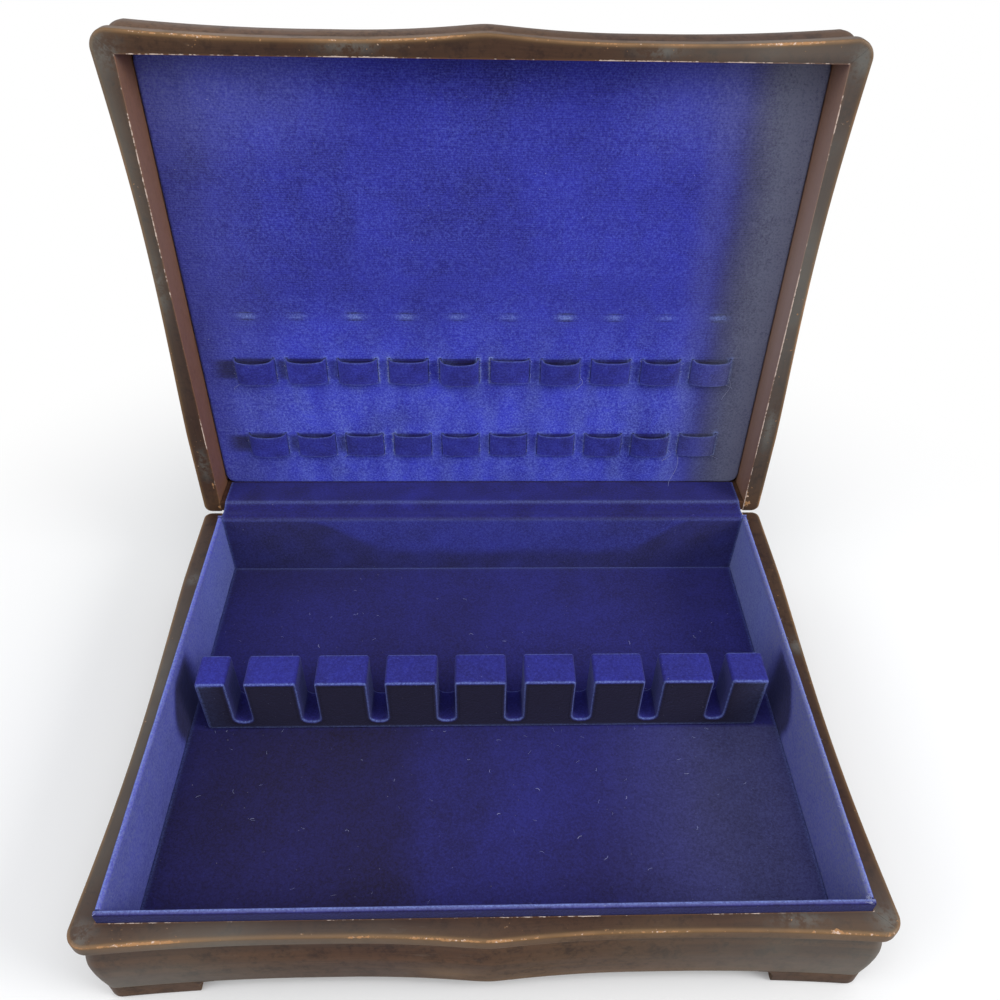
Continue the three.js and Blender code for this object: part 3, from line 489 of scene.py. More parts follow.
def velvet(cloth, colours, ribbing, mottle):
    """Short pile velvet, marked with how its pile lies together with painted light and shade,
    its worn edges, and its dust together with a painted reflection.
    """
    places = cloth.places()
    fuzz = cloth.noise(places, 1900, 2, 0.7)
    tufts = cloth.noise(places, 760, 2, 0.65)
    blotch = cloth.noise(places, 62, 4, 0.62, 0.5)
    cloud = cloth.noise(places, 13, 3, 0.55, 0.3)
    streak = cloth.noise(cloth.stretch(places, (30, 9, 9)), 1.5, 3, 0.6)
    uneven = (blotch - 0.5) * 1.0 + (cloud - 0.5) * 1.2 + (streak - 0.5) * 0.4
    # The pile level carries painted light and shade as well as how the pile lies
    nap = cloth.mark("nap")
    grit = (tufts - 0.5) * (0.11 + nap * 0.88) + (fuzz - 0.5) * (0.10 + nap * 0.34)
    tone = nap * (1 + uneven * mottle) + grit
    weave = cloth.node(
        "ShaderNodeTexWave",
        {"wave_type": "BANDS", "bands_direction": "Y"},
        {"Vector": cloth.direction("cloth"), "Scale": 245, "Distortion": 2.5, "Detail": 2},
    )
    if ribbing:
        tone = tone + (weave - 0.5) * ribbing
    # The colour runs from deep to royal with the pile level, so painted shade comes out deep and
    # painted light royal
    cloth.colour = cloth.blend((tone * 0.75).high(0).low(1), colours.deep, colours.royal)

    # Painted highlights on the pile's tips, dust with a painted reflection, worn edges and flecks
    # of lint
    glint = cloth.step(fuzz * 0.45 + tufts * 0.55, 0.42, 0.68) * nap * nap.low(1.2)
    cloth.coat(glint * 0.60, colours.worn)
    dusty = 0.4 + blotch * 0.5 + (tufts - 0.5) * 1.6 + (fuzz - 0.5) * 1.2 + 0.35
    cloth.coat((cloth.mark("dust") * dusty).high(0).low(1), colours.dust)
    worn = cloth.mark("edge") * (0.25 + cloth.step(fuzz * 0.5 + tufts * 0.5, 0.38, 0.62) * 0.75)
    cloth.coat(worn.low(1), colours.worn)
    lint = cloth.step(cloth.noise(places, 900, 1, 0.4), 0.80, 0.83)
    cloth.coat(lint * 0.35, colours.lint)
    height = fuzz * 0.5 + tufts * 0.9 + blotch * 1.4
    if ribbing:
        height = height + weave * ribbing * 2
    cloth.surface({
        "Roughness": 0.92,
        "Specular IOR Level": 0.1,
        "Sheen Weight": 0.35,
        "Sheen Roughness": 0.45,
        "Sheen Tint": (0.30, 0.34, 0.85),
        "Normal": cloth.bump(height, 0.35 * MM, 0.8),
    })


def thread(fibre, colours):
    """Pale frayed thread and lint."""
    uneven = fibre.noise(fibre.places(), 300, 2, 0.5)
    fibre.colour = fibre.blend(uneven, colours.worn, colours.lint)
    fibre.surface({"Roughness": 0.8})


def brass(metal, colours):
    """Dull brass plate with tarnish."""
    tarnish = metal.noise(metal.places(), 240, 4, 0.65)
    brushed = metal.noise(metal.stretch(metal.places(), (40, 900, 900)), 2, 2, 0.5)
    metal.colour = metal.blend(metal.step(tarnish, 0.45, 0.7), colours.brass, colours.tarnish)
    metal.surface({
        "Metallic": 1.0,
        "Roughness": 0.3 + tarnish * 0.3 + brushed * 0.1,
        "Normal": metal.bump(brushed, 0.05 * MM, 0.4),
    })


# What makes each finish, and with which settings
FINISHES = {
    "mahogany": (mahogany, {"marked": True}),
    "mahogany_back": (mahogany, {"marked": False}),
    "bare_panel": (bare_panel, {}),
    "lid_velvet": (velvet, {"ribbing": 0.13, "mottle": 0.75}),
    "base_velvet": (velvet, {"ribbing": 0, "mottle": 0.8}),
    "loose_thread": (thread, {}),
    "tarnished_brass": (brass, {}),
}


def finish_named(name):
    """Makes a finish the first time that it is asked for."""
    if name not in bpy.data.materials:
        make, settings = FINISHES[name]
        finish = Finish(bpy.data.materials.new(name))
        make(finish, bpy.context.scene.chest_colours, **settings)
    return bpy.data.materials[name]


def dress(node, finish):
    """Gives a kept node its finish."""
    node.data.materials.clear()
    node.data.materials.append(finish_named(finish))


class Case:
    """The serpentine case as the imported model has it, in metres."""

    # Steps along the front and a side, from a corner to its mitre and round a back corner
    FRONT_STEPS, SIDE_STEPS, MITRE_STEPS, BACK_STEPS = 120, 90, 7, 6

    # Steps round the flange's edges, and down the cove and the tail of the moulding
    ROUND_STEPS, SWELL_STEPS = 5, 14

    def __init__(self, sizes):
        self.sizes = sizes
        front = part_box("base_front")
        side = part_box("base_right")
        self.rim = front[1].z
        self.skirt = front[0].z
        self.outer_half = side[1].x
        self.wall_half = side[0].x
        self.wall_front = front[1].y
        self.outer_front = self.wall_front - (self.outer_half - self.wall_half)
        self.outer_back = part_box("base_back")[1].y
        lid_front = closed_box("lid_front")
        self.lid_rim = lid_front[0][2]
        self.lid_shoulder = lid_front[1][2]
        self.lid_half = closed_box("lid_right")[0][0]
        self.lid_wall_front = lid_front[1][1]
        self.lid_top = closed_box("lid_top")

    def front_edge(self, x):
        """The rim's Y across the front: two sweeps that meet in a crest."""
        s = self.sizes
        straight = self.outer_half - s.corner_radius
        out = np.hypot(x, s.crest_round) - s.crest_round
        crest = np.clip(1 - out / s.crest_half, 0, None) ** 2
        flare = np.clip(1 - (straight - np.abs(x)) / s.flare_width, 0, None) ** 2
        return self.outer_front + s.front_sweep * (1 - np.maximum(crest, flare))

    def side_edge(self, y):
        """The right rim's X along the side: straight to the knee, then one sweep."""
        s = self.sizes
        knee = self.outer_back - s.knee
        end = self.outer_front + s.corner_radius
        share = np.clip((knee - y) / (knee - end), 0, 1)
        return self.outer_half - s.side_sweep * np.sin(math.pi * share**s.side_power)

    def across_front(self, x):
        """Stations along the front: x, y and the outward direction."""
        return np.stack([x, self.front_edge(x), 0 * x, 0 * x - 1], 1)

    def along_side(self, y):
        """Stations along the right side."""
        return np.stack([self.side_edge(y), y, 0 * y + 1, 0 * y], 1)

    def back_corner(self, angle):
        """Stations round the right back corner, from the side at 0 to the back."""
        radius = self.sizes.back_radius
        x = self.outer_half - radius * (1 - np.cos(angle))
        y = self.outer_back - radius * (1 - np.sin(angle))
        return np.stack([x, y, 0 * angle + 1, 0 * angle], 1)

    def corner(self, start, stop, steps):
        """Stations round the right front corner, from one angle to another in degrees."""
        radius = self.sizes.corner_radius
        angle = np.radians(np.linspace(start, stop, steps + 1))
        out = np.stack([np.cos(angle), np.sin(angle)], 1)
        centre = np.array([self.outer_half - radius, self.outer_front + radius])
        return np.hstack([centre + radius * out, out])

    def front(self):
        """Stations along the front, from mitre to mitre."""
        straight = self.outer_half - self.sizes.corner_radius
        x = np.linspace(-straight, straight, self.FRONT_STEPS + 1)[1:-1]
        corner = self.corner(-90, -45, self.MITRE_STEPS)
        return np.vstack([mirrored(corner), self.across_front(x), corner])

    def side(self):
        """Stations along the right side, from the mitre to the back."""
        start = self.outer_front + self.sizes.corner_radius
        end = self.outer_back - self.sizes.back_radius
        run = self.along_side(np.linspace(start, end, self.SIDE_STEPS + 1)[1:])
        turn = self.back_corner(quarter(self.BACK_STEPS)[1:])
        return np.vstack([self.corner(-45, 0, self.MITRE_STEPS), run, turn])

    def outline(self):
        """Stations all the way round, from the left mitre."""
        side = self.side()
        return np.vstack([self.front(), side[1:], mirrored(side)[:-1]])

    def moulding(self, swell, end_inset, height):
        """The moulding's insets and distances from the rim, with how worn each point is."""
        s = self.sizes
        arc = quarter(self.ROUND_STEPS)
        r = s.flange_round
        upper = np.stack([r * (1 - np.sin(arc)), r * (1 - np.cos(arc))], 1)
        lower = np.stack([r * (1 - np.cos(arc)), s.flange_height - r * (1 - np.sin(arc))], 1)
        share = np.linspace(0, 1, self.SWELL_STEPS + 1)
        start = s.flange_height + s.quirk_height
        rise = (1 - np.cos(math.pi * share)) / 2
        cove = np.stack([
            s.quirk_inset + (s.swell_inset - s.quirk_inset) * rise,
            start + swell * share,
        ], 1)
        share = share[1:]
        fall = 1 - np.cos(math.pi / 2 * share)
        tail = np.stack([
            s.swell_inset + (end_inset - s.swell_inset) * fall,
            start + swell + (height - start - swell) * share,
        ], 1)
        quirk = np.array([[s.quirk_inset, s.flange_height]])
        profile = np.vstack([upper, lower, quirk, cove, tail])
        worn = hill(profile[:, 1] - 0.3 * r, 0.6 * r)
        worn += 0.55 * hill(profile[:, 1] - s.flange_height + 0.3 * r, 0.6 * r)
        worn += 0.5 * hill(profile[:, 1] - height, 1.5 * MM)
        return profile, np.clip(worn, 0, 1)


def mirrored(stations):
    """The same stations on the other side of the middle."""
    return stations[::-1] * np.array([-1, 1, -1, 1])


# Distances from a flat rim's inner edge at which its faces are split; the first two from its outer
RIM_SPLITS = np.array([0.7, 1.6, 3.2]) * MM
RIM_POINTS = 6


def moulded_board(name, stations, profile, worn, inside, inner_point, place, turn=None):
    """A board as a loft: moulded outside, flat or grooved inside, with a flat rim between."""
    steps = np.linalg.norm(np.diff(stations[:, :2], axis=0), axis=1)
    rings, grain = [], []
    for station, distance in zip(stations, [0, *np.cumsum(steps)]):
        x, y, out_x, out_y = station
        outer = [(x - out_x * inset, y - out_y * inset, z) for inset, z in profile]
        inner = [inner_point(station, depth, z) for depth, z in inside]
        first, last = np.array(inner[-1]), np.array(outer[0])
        width = np.linalg.norm(last - first)
        shares = [*RIM_SPLITS / width, 0.5, *1 - RIM_SPLITS[1::-1] / width]
        ring = np.array(outer + inner + [first + (last - first) * share for share in shares])
        rings.append(ring)
        across = np.hypot(ring[:, 0] - x, ring[:, 1] - y)
        grain.append(np.stack([np.full(len(ring), distance), ring[:, 2], across], 1))
    points = np.array(rings).reshape(-1, 3)
    from_rim = np.abs(np.array([z for _, z in inside]) - profile[0, 1])
    outer, inner, rim = np.zeros(len(profile)), np.zeros(len(inside)), np.zeros(RIM_POINTS)
    ring_marks = {
        "arris": [*worn, *inner, *rim[:4], 0.05, 0.35],
        "lip": [*outer, *hill(from_rim, 0.5 * MM), 0.35, *rim[:5]],
        "raw": [*outer, *(from_rim > 0.1 * MM), *rim],
        "rim": [0.5, *outer[1:], *inner, *(rim + 1)],
    }
    marks = {key: np.tile(values, len(rings)) for key, values in ring_marks.items()}
    marks["grain"] = np.array(grain).reshape(-1, 3)
    seen = points if turn is None else moved(points, turn)
    for mark, table in SPOTS.items():
        marks[mark] = spots(seen, table)
    faces = loft_faces(len(rings), len(rings[0]))
    return make_piece(name, points, faces, place, "mahogany", marks, turn=turn)


# Chips and gashes in the wood, in millimetres at rest: middle and reach each way
GASHES = (
    ((-64, -177.3, 67.6), (11, 1.0, 1.3)),
    ((-36, -178.3, 67.6), (5, 0.9, 1.2)),
    ((-20, -179.2, 67.5), (7, 1.1, 1.3)),
    ((-128, -177.5, 67.8), (2.5, 0.8, 0.9)),
    ((-142, -177.6, 67.8), (1.8, 0.7, 0.9)),
    ((112, -177.4, 67.6), (3, 0.8, 1.0)),
    ((145, -172.5, 68), (2.6, 1.4, 1)),
    ((166, -178.0, 67.4), (5.5, 1.6, 1.8)),
    ((193, -179.6, 67.0), (7, 1.8, 1.6)),
    ((-20, -178, 21), (4.5, 4, 1.8)),
    ((-14, -178, 26), (3.5, 4, 0.8)),
    ((191, 127.5, 75), (4.5, 2.5, 4.5)),
    ((190, 128, 84), (1.6, 2.5, 5)),
    ((-189, 127.5, 73), (2.2, 2.5, 2.6)),
    ((-191, 128, 92), (1.4, 2.5, 4)),
    ((-199, 137.5, 150), (1.6, 3, 3.4)),
    ((-198, 142, 300), (1.4, 3, 3)),
    ((199, 139, 255), (1.4, 3, 4)),
    ((199, 135, 170), (1.3, 3, 3)),
    ((-146, 142.6, 362.6), (5, 1.4, 1.2)),
    ((-96, 142.6, 367), (1.4, 1.5, 2.4)),
    ((128, 142.6, 362.6), (5, 1.4, 1.3)),
)

# Grey bruises in the lacquer, in the same way
BRUISES = (
    ((-196, -176, 68), (8, 8, 6)),
    ((195, -174, 68), (8, 8, 6)),
    ((150, -172, 68), (12, 4, 4)),
    ((-194, 143, 366), (8, 5, 9)),
    ((-70, 143, 369), (14, 5, 3)),
    ((90, 143, 369), (11, 5, 3)),
    ((196, 142, 366), (7, 5, 9)),
    ((-195, 136, 240), (3.5, 5, 16)),
    ((-194, 130, 110), (3.5, 5, 12)),
    ((194, 132, 140), (3.5, 5, 18)),
    ((-194, 60, 68), (4, 5, 5)),
    ((195, 0, 68), (4, 6, 5)),
)

# Stretches of edge that hands have rubbed, in the same way; along the lid's top edge they also
# paint a warm highlight
RUBS_AND_HIGHLIGHTS = (
    ((-20, -179, 67), (62, 6, 8)),
    ((-165, -179, 67), (28, 6, 5)),
    ((80, -179, 67), (40, 6, 4)),
    ((170, -179, 67), (30, 8, 8)),
    ((-20, -178, 22), (16, 6, 9)),
    ((60, -178, 16), (90, 6, 4)),
    ((70, 144, 375), (55, 6, 4)),
    ((-45, 144, 375), (50, 6, 4)),
    ((160, 144, 374), (26, 6, 5)),
    ((-150, 144, 374), (40, 6, 5)),
    ((-200, 138, 200), (4, 9, 60)),
    ((200, 138, 240), (4, 9, 70)),
    ((192, 128, 80), (9, 5, 14)),
    ((-192, 128, 76), (9, 5, 10)),
)

# Where a broad grey film lies on the lacquer, in the same way; the film is partly a painted
# reflection
VEILS_AND_REFLECTIONS = (
    ((190, -172, 20), (90, 30, 45)),
    ((185, -176, 12), (60, 24, 30)),
    ((-185, -176, 10), (60, 30, 34)),
    ((-196, -60, 60), (12, 120, 20)),
    ((-204, 142, 290), (12, 20, 110)),
    ((189, 142, 240), (18, 20, 150)),
    ((-110, -178, 63), (90, 10, 7)),
    ((165, 148, 370), (60, 12, 8)),
)

# Pale clouds on the closed lid's top, in the same way but with the lid turned down
TOP_CLOUDS = (((-60, -40, 106), (70, 40, 9)), ((110, 20, 106), (50, 60, 9)))

# The mark that each table sets on a moulded board
SPOTS = {"gash": GASHES, "bloom": BRUISES, "rub": RUBS_AND_HIGHLIGHTS, "veil": VEILS_AND_REFLECTIONS}


def spots(points, table):
    """How far each point lies inside one of a table's spots, from 0 to 1."""
    level = np.zeros(len(points))
    for middle, reach in table:
        offset = (points / MM - middle) / reach
        level = np.maximum(level, np.exp(-(offset**2).sum(1)))
    return level


def eased_edge(rim, way):
    """The last of an inner face, up to the rim, with its edge just taken off."""
    reach = 0.5 * MM
    heights = [rim - way * d for d in (9 * MM, 4 * MM, 1.6 * MM, reach, 0.3 * reach)]
    return [(0, z) for z in heights[:4]] + [(0.3 * reach, heights[4]), (reach, rim)]


def grooved_inside(case):
    """The base boards' inner face, with the groove that holds the bottom."""
    gap, depth = case.sizes.joint_gap, case.sizes.groove_depth
    low, high = (corner.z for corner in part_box("base_bottom"))
    groove = [(0, low - gap), (depth, low - gap), (depth, high + gap), (0, high + gap)]
    return [(0, case.skirt)] + groove + eased_edge(case.rim, 1)


def case_boards(case, half, front, inside, profile, worn, names, place, turn=None):
    """The front board and both side boards, mitred at the front corners."""
    setback = case.sizes.mitre_gap

    def front_inner(station, depth, z):
        end = half + depth - setback
        return (float(np.clip(station[0], -end, end)), front - depth, z)

    def right_inner(station, depth, z):
        return (half + depth, max(station[1], front - depth + setback), z)

    def left_inner(station, depth, z):
        x, y, z = right_inner(station, depth, z)
        return (-x, y, z)

    across, side = case.front(), case.side()
    across[[0, -1], 0] += (setback, -setback)
    side[0, 1] += setback
    runs = ((across, front_inner), (mirrored(side), left_inner), (side, right_inner))
    for name, (stations, inner_point) in zip(names, runs):
        moulded_board(name, stations, profile, worn, inside, inner_point, place, turn)


class CHEST_OT_base_boards(bpy.types.Operator):
    """Makes the base's moulded boards and dresses the plain ones"""

    bl_idname = "chest.base_boards"
    bl_label = "Base boards"

    def execute(self, context):
        case = Case(context.scene.chest_case)
        s = case.sizes
        height = case.rim - case.skirt
        profile, worn = case.moulding(s.base_swell, s.skirt_inset, height)
        profile[:, 1] = case.rim - profile[:, 1]
        inside = grooved_inside(case)
        case_boards(
            case, case.wall_half, case.wall_front, inside, profile, worn,
            ("base_front", "base_left", "base_right"), ("base", "wood"),
        )
        dress(frame["nodes"]["base_back"], "mahogany_back")
        dress(frame["nodes"]["base_bottom"], "bare_panel")
        return {"FINISHED"}


class CHEST_OT_lid_boards(bpy.types.Operator):
    """Makes the lid's moulded boards and its top board, turned open"""

    bl_idname = "chest.lid_boards"
    bl_label = "Lid boards"

    # How worn each ring of points of the top board is, from its lower edge in, and how far past
    # its rounded edge the last two lie
    WEAR = (0.5, 0.25, 0.15, 0.15, 0.15, 0.15, 0.15, 0.1, 0.05, 0, 0)
    TOP_RINGS = np.array([0.8, 2]) * MM

    def execute(self, context):
        case = Case(context.scene.chest_case)
        s = case.sizes
        height = case.lid_shoulder - case.lid_rim
        profile, worn = case.moulding(s.lid_swell, s.shoulder_inset, height)
        profile[:, 1] = case.lid_rim + profile[:, 1]
        inside = [(0, case.lid_shoulder)] + eased_edge(case.lid_rim, -1)
        case_boards(
            case, case.lid_half, case.lid_wall_front, inside, profile, worn,
            ("lid_front", "lid_left", "lid_right"), ("lid", "wood"), OPEN,
        )
        dress(frame["nodes"]["lid_back"], "mahogany_back")
        self.top_board(case)
        return {"FINISHED"}

    def top_board(self, case):
        """The top board, whose edge turns over in a quarter round that follows the outline."""
        s = case.sizes
        under, top = case.lid_top[0][2], case.lid_top[1][2]
        stations = case.outline()
        angle = quarter(len(self.WEAR) - 1 - len(self.TOP_RINGS))
        insets = s.shoulder_inset + s.lid_edge_round * (1 - np.cos(angle))
        insets = [*insets, *insets[-1] + self.TOP_RINGS]
        heights = [*under + (top - under) * np.sin(angle), top, top]
        rings = [
            np.column_stack([stations[:, :2] - stations[:, 2:] * inset, np.full(len(stations), z)])
            for inset, z in zip(insets, heights)
        ]
        points = np.array(rings).reshape(-1, 3)
        marks = {
            "arris": np.repeat(self.WEAR, len(stations)),
            "grain": points,
            "bloom": 0.5 * spots(points, TOP_CLOUDS),
        }
        faces = loft_faces(len(rings), len(stations))
        make_piece("lid_top", points, faces, ("lid", "wood"), "mahogany", marks, turn=OPEN)


class CHEST_OT_feet(bpy.types.Operator):
    """Makes the four bracket feet"""

    bl_idname = "chest.feet"
    bl_label = "Bracket feet"

    # How worn each point of a foot's section is, from its lower edge up and then inside
    WEAR = (0.5, 0.6, 0.5, 0.3, 0.2, 0.1, 0, 0.1, 0, 0.3)

    # Steps along an arm, round its cove and round the lower edge
    ARM_STEPS, COVE_STEPS, ROUND_STEPS = 14, 8, 5

    def execute(self, context):
        case = Case(context.scene.chest_case)
        for at_back in (False, True):
            for at_right in (False, True):
                self.foot(case, at_right, at_back)
        return {"FINISHED"}

    def arm(self, case):
        """Distances from the corner along an arm, with the lower edge's height at each."""
        s = case.sizes
        top = case.skirt - s.joint_gap
        reach = s.foot_arm + s.foot_cove
        flat = np.linspace(s.corner_radius, s.foot_arm, self.ARM_STEPS)
        angle = quarter(self.COVE_STEPS)
        cove = reach - s.foot_cove * np.cos(angle)
        lift = top - s.foot_cove + s.foot_cove * np.sin(angle)
        return np.concatenate([flat, cove]), np.concatenate([0 * flat, lift])

    def stations(self, case, distance, at_back):
        """Stations of a right foot: across the front or back, round the corner, along the side."""
        x = case.outer_half - distance[::-1]
        if at_back:
            across = np.stack([x, 0 * x + case.outer_back, 0 * x, 0 * x], 1)
            corner = case.back_corner(quarter(case.BACK_STEPS)[::-1])
            return across, corner, case.along_side(case.outer_back - distance)
        corner = case.corner(-90, 0, 2 * case.MITRE_STEPS)
        return case.across_front(x), corner, case.along_side(case.outer_front + distance)

    def foot(self, case, at_right, at_back):
        """A foot as a loft: an outer edge rounded below, and a plain inside corner."""
        s = case.sizes
        distance, lift = self.arm(case)
        across, corner, along = self.stations(case, distance, at_back)
        lifts = np.concatenate([lift[::-1], np.zeros(len(corner)), lift])
        top = case.skirt - s.joint_gap
        wall_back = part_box("base_back")[0].y
        arc = quarter(self.ROUND_STEPS)
        rings = []
        for station, low in zip([*across, *corner, *along], lifts):
            x, y, out_x, out_y = station
            room = min(s.foot_round, top - low)
            insets = [*s.skirt_inset + room * (1 - np.sin(arc)), s.skirt_inset, s.skirt_inset]
            heights = [*low + room * (1 - np.cos(arc)), (low + room + top) / 2, top]
            ring = [(x - out_x * d, y - out_y * d, z) for d, z in zip(insets, heights)]
            inner_x = min(x, case.wall_half)
            inner_y = min(y, wall_back) if at_back else max(y, case.wall_front)
            rings.append([*ring, (inner_x, inner_y, top), (inner_x, inner_y, low)])
        points = np.array(rings)
        if not at_right:
            points[..., 0] *= -1
        faces = loft_faces(*points.shape[:2])
        points = points.reshape(-1, 3)
        marks = {
            "arris": np.tile(self.WEAR, len(rings)),
            "grain": points,
            "bloom": spots(points, BRUISES),
        }
        name = f"foot_{'back' if at_back else 'front'}_{'right' if at_right else 'left'}"
        make_piece(name, points, faces, ("base", "wood"), "mahogany", marks)


def pile_marks(points, nap, edge, dust=0.0):
    """The marks that the velvet finish reads. A grid of levels serves both faces of a shell."""
    levels = {"nap": nap, "edge": edge, "dust": dust}
    marks = {name: np.resize(level, len(points)) for name, level in levels.items()}
    return {**marks, "cloth": points}


class CHEST_OT_liners(bpy.types.Operator):
    """Makes the velvet covered boards round the base's inside"""

    bl_idname = "chest.liners"
    bl_label = "Velvet walls"

    # How bright the pile is on each wall, with the painted light that falls on it, and how much
    # dust and painted reflection it has
    NAPS_AND_LIGHT = {"liner_left": 1.0, "liner_right": 0.92, "liner_front": 0.36, "liner_back": 0.35}
    DUSTS_AND_REFLECTIONS = {"liner_left": 0.50, "liner_right": 0.74, "liner_front": 0.38, "liner_back": 0.30}
    # How worn the side walls look behind the rack, and by how far back
    BACKS = {"liner_left": (0.4, 0.07), "liner_right": (0.5, 0.04)}
    # Where the worn line runs along each crest, from the inner side at -1 to the outer at 1
    CRESTS = {"liner_left": 0.4, "liner_right": 0.4, "liner_front": -0.35, "liner_back": 0.0}

    # Steps up each face, round the crest and along the board, and how far the velvet swells
    FACE_STEPS, CREST_STEPS, RUN_STEPS = 16, 15, 130
    SWELL = 0.12 * MM

    def execute(self, context):
        for number, name in enumerate(self.NAPS_AND_LIGHT):
            self.liner(name, number)
        return {"FINISHED"}

    def liner(self, name, seed):
        """A rounded section run along Y for the side walls and along X for the others."""
        low, high = (np.array(corner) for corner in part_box(name))
        at_side = name in ("liner_left", "liner_right")
        thick, long = (0, 1) if at_side else (1, 0)
        radius = (high[thick] - low[thick]) / 2
        middle = (high[thick] + low[thick]) / 2
        straight = np.linspace(low[2], high[2] - radius, self.FACE_STEPS)
        angle = np.linspace(0, math.pi, self.CREST_STEPS)[1:-1]
        face = np.full(self.FACE_STEPS, radius)
        offset = np.concatenate([face, radius * np.cos(angle), -face])
        height = np.concatenate([
            straight, high[2] - radius + radius * np.sin(angle), straight[::-1],
        ])
        run = np.linspace(low[long], high[long], self.RUN_STEPS)
        points = np.zeros((len(run), len(offset), 3))
        grid_run, grid_height = np.meshgrid(run, height, indexing="ij")
        swell = self.SWELL * ripple(grid_run, grid_height, 40 * MM, seed)
        swell *= smooth(low[2] + 8 * MM, high[2] - 2 * MM, grid_height)
        points[..., thick] = middle + offset * (1 - np.abs(swell) / radius)
        points[..., long] = grid_run
        points[..., 2] = grid_height - np.abs(swell) * 0.6
        points = points.reshape(-1, 3)

        # How far out each point lies across the board, from the inner face at -1
        out = np.sign(middle) * offset / radius
        on_top = grid_height > high[2] - radius
        crest = hill(out - self.CRESTS[name], 0.36) * on_top
        worn = crest * (0.95 + 0.3 * ripple(grid_run, grid_height, 18 * MM, seed + 30))
        rubbed, by = self.BACKS.get(name, (0, 1))
        worn = worn + rubbed * smooth(0.0, by, grid_run) * (grid_height < high[2] - radius)
        # Painted shade: the pile is darker on the outer face, where it meets the wood, and where
        # the rack's shadow is painted; it is also darker towards the bottom
        outside = smooth(0.35, 0.95, np.broadcast_to(out, grid_run.shape))
        fade = 1 - 0.25 * smooth(0, 1, (high[2] - grid_height) / (high[2] - low[2]))
        nap = self.NAPS_AND_LIGHT[name]
        level = nap * fade * (1 - 0.75 * outside)
        if at_side:
            level *= 1 + 0.4 * smooth(0.02, 0.12, grid_run)
            level *= 1 - 0.95 * self.rack_shadow(grid_run, grid_height) * (out < 0.4)
        dust = self.DUSTS_AND_REFLECTIONS[name] * (1 - outside) * np.minimum(level / nap, 1)
        faces = loft_faces(len(run), len(offset))
        marks = pile_marks(points, level, worn, dust)
        make_piece(name, points, faces, ("base", "velvet"), "base_velvet", marks, sharp=50)

    def rack_shadow(self, y, z):
        """1 where the rack's shadow is painted on the pile next to the rack's end, up to a bowed
        edge.
        """
        low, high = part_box("silver_rack")
        rise = (z - low.z) / (high.z - low.z)
        bow = 10 * MM * np.sin(math.pi * np.clip(rise, 0, 1))
        front = low.y - 9 * MM + 16 * MM * rise - bow
        back = high.y + 7 * MM
        soft = 4 * MM
        beside = band(front - soft, front + soft, back - 2 * soft, back + 2 * soft, y)
        return beside * (1 - smooth(0.86, 1.0, rise))


def edge_lines(low, high, near, steps):
    """Grid lines from low to high, close together at both ends."""
    middle = np.linspace(low + near[-1], high - near[-1], steps + 1)[1:-1]
    return np.concatenate([low + near, middle, (high - near)[::-1]])


class CHEST_OT_floor_pad(bpy.types.Operator):
    """Makes the velvet floor pad with its soft edges"""

    bl_idname = "chest.floor_pad"
    bl_label = "Floor pad"

    # Distances of the grid's outer lines from the pad's edges, and steps between them
    NEAR_EDGE = np.array([0, 0.06, 0.2, 0.5, 1.0, 1.7, 2.6, 3.8, 5.4, 7.4]) * MM
    STEPS = (110, 84)

    # How deep the velvet's waves are
    WAVE = 0.22 * MM

    # Where across the floor the pile turns lighter, in front of the rack and behind, and dusty
    LIGHT_IN_FRONT, LIGHT_BEHIND, DUSTY = (-0.052, -0.030), (-0.12, 0.05), (0.05, 0.17)

    def execute(self, context):
        lining = context.scene.chest_lining
        low, high = (np.array(c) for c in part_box("floor_pad"))
        x, y = (edge_lines(low[i], high[i], self.NEAR_EDGE, self.STEPS[i]) for i in (0, 1))
        grid_x, grid_y = np.meshgrid(x, y, indexing="ij")
        depth = np.minimum.reduce([
            grid_x - low[0], high[0] - grid_x, grid_y - low[1], high[1] - grid_y,
        ])
        share = np.clip(1 - depth / lining.crown_reach, 0, 1)
        drop = lining.crown_drop * (1 - np.sqrt(1 - share**2))
        wave = self.WAVE * (1 + ripple(grid_x, grid_y, 60 * MM, seed=5)) / 2
        top = high[2] - drop - wave * smooth(0, 12 * MM, depth)
        front = np.stack([grid_x, grid_y, top], -1)
        back = np.stack([grid_x, grid_y, np.full(grid_x.shape, low[2])], -1)
        points = np.concatenate([front.reshape(-1, 3), back.reshape(-1, 3)])

        # The floor is lighter behind the rack and right of the middle, and dusty on the far right
        in_front = grid_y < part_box("silver_rack")[0].y
        nap = 0.090 + 0.025 * ripple(grid_x, grid_y, 120 * MM, seed=9)
        nap += 0.075 * smooth(*self.LIGHT_IN_FRONT, grid_x) * in_front
        nap += 0.085 * ~in_front * (0.7 + 0.6 * smooth(*self.LIGHT_BEHIND, grid_x))
        edge = 0.35 * (1 - smooth(0, 3.2 * MM, depth))
        dust = 0.02 + 0.20 * smooth(*self.DUSTY, grid_x) * in_front
        marks = pile_marks(points, nap, edge, dust)
        faces = shell_faces(grid_x.shape)
        pad = make_piece(
            "floor_pad", points, faces, ("base", "velvet"), "base_velvet", marks, sharp=50
        )
        return {"FINISHED"}


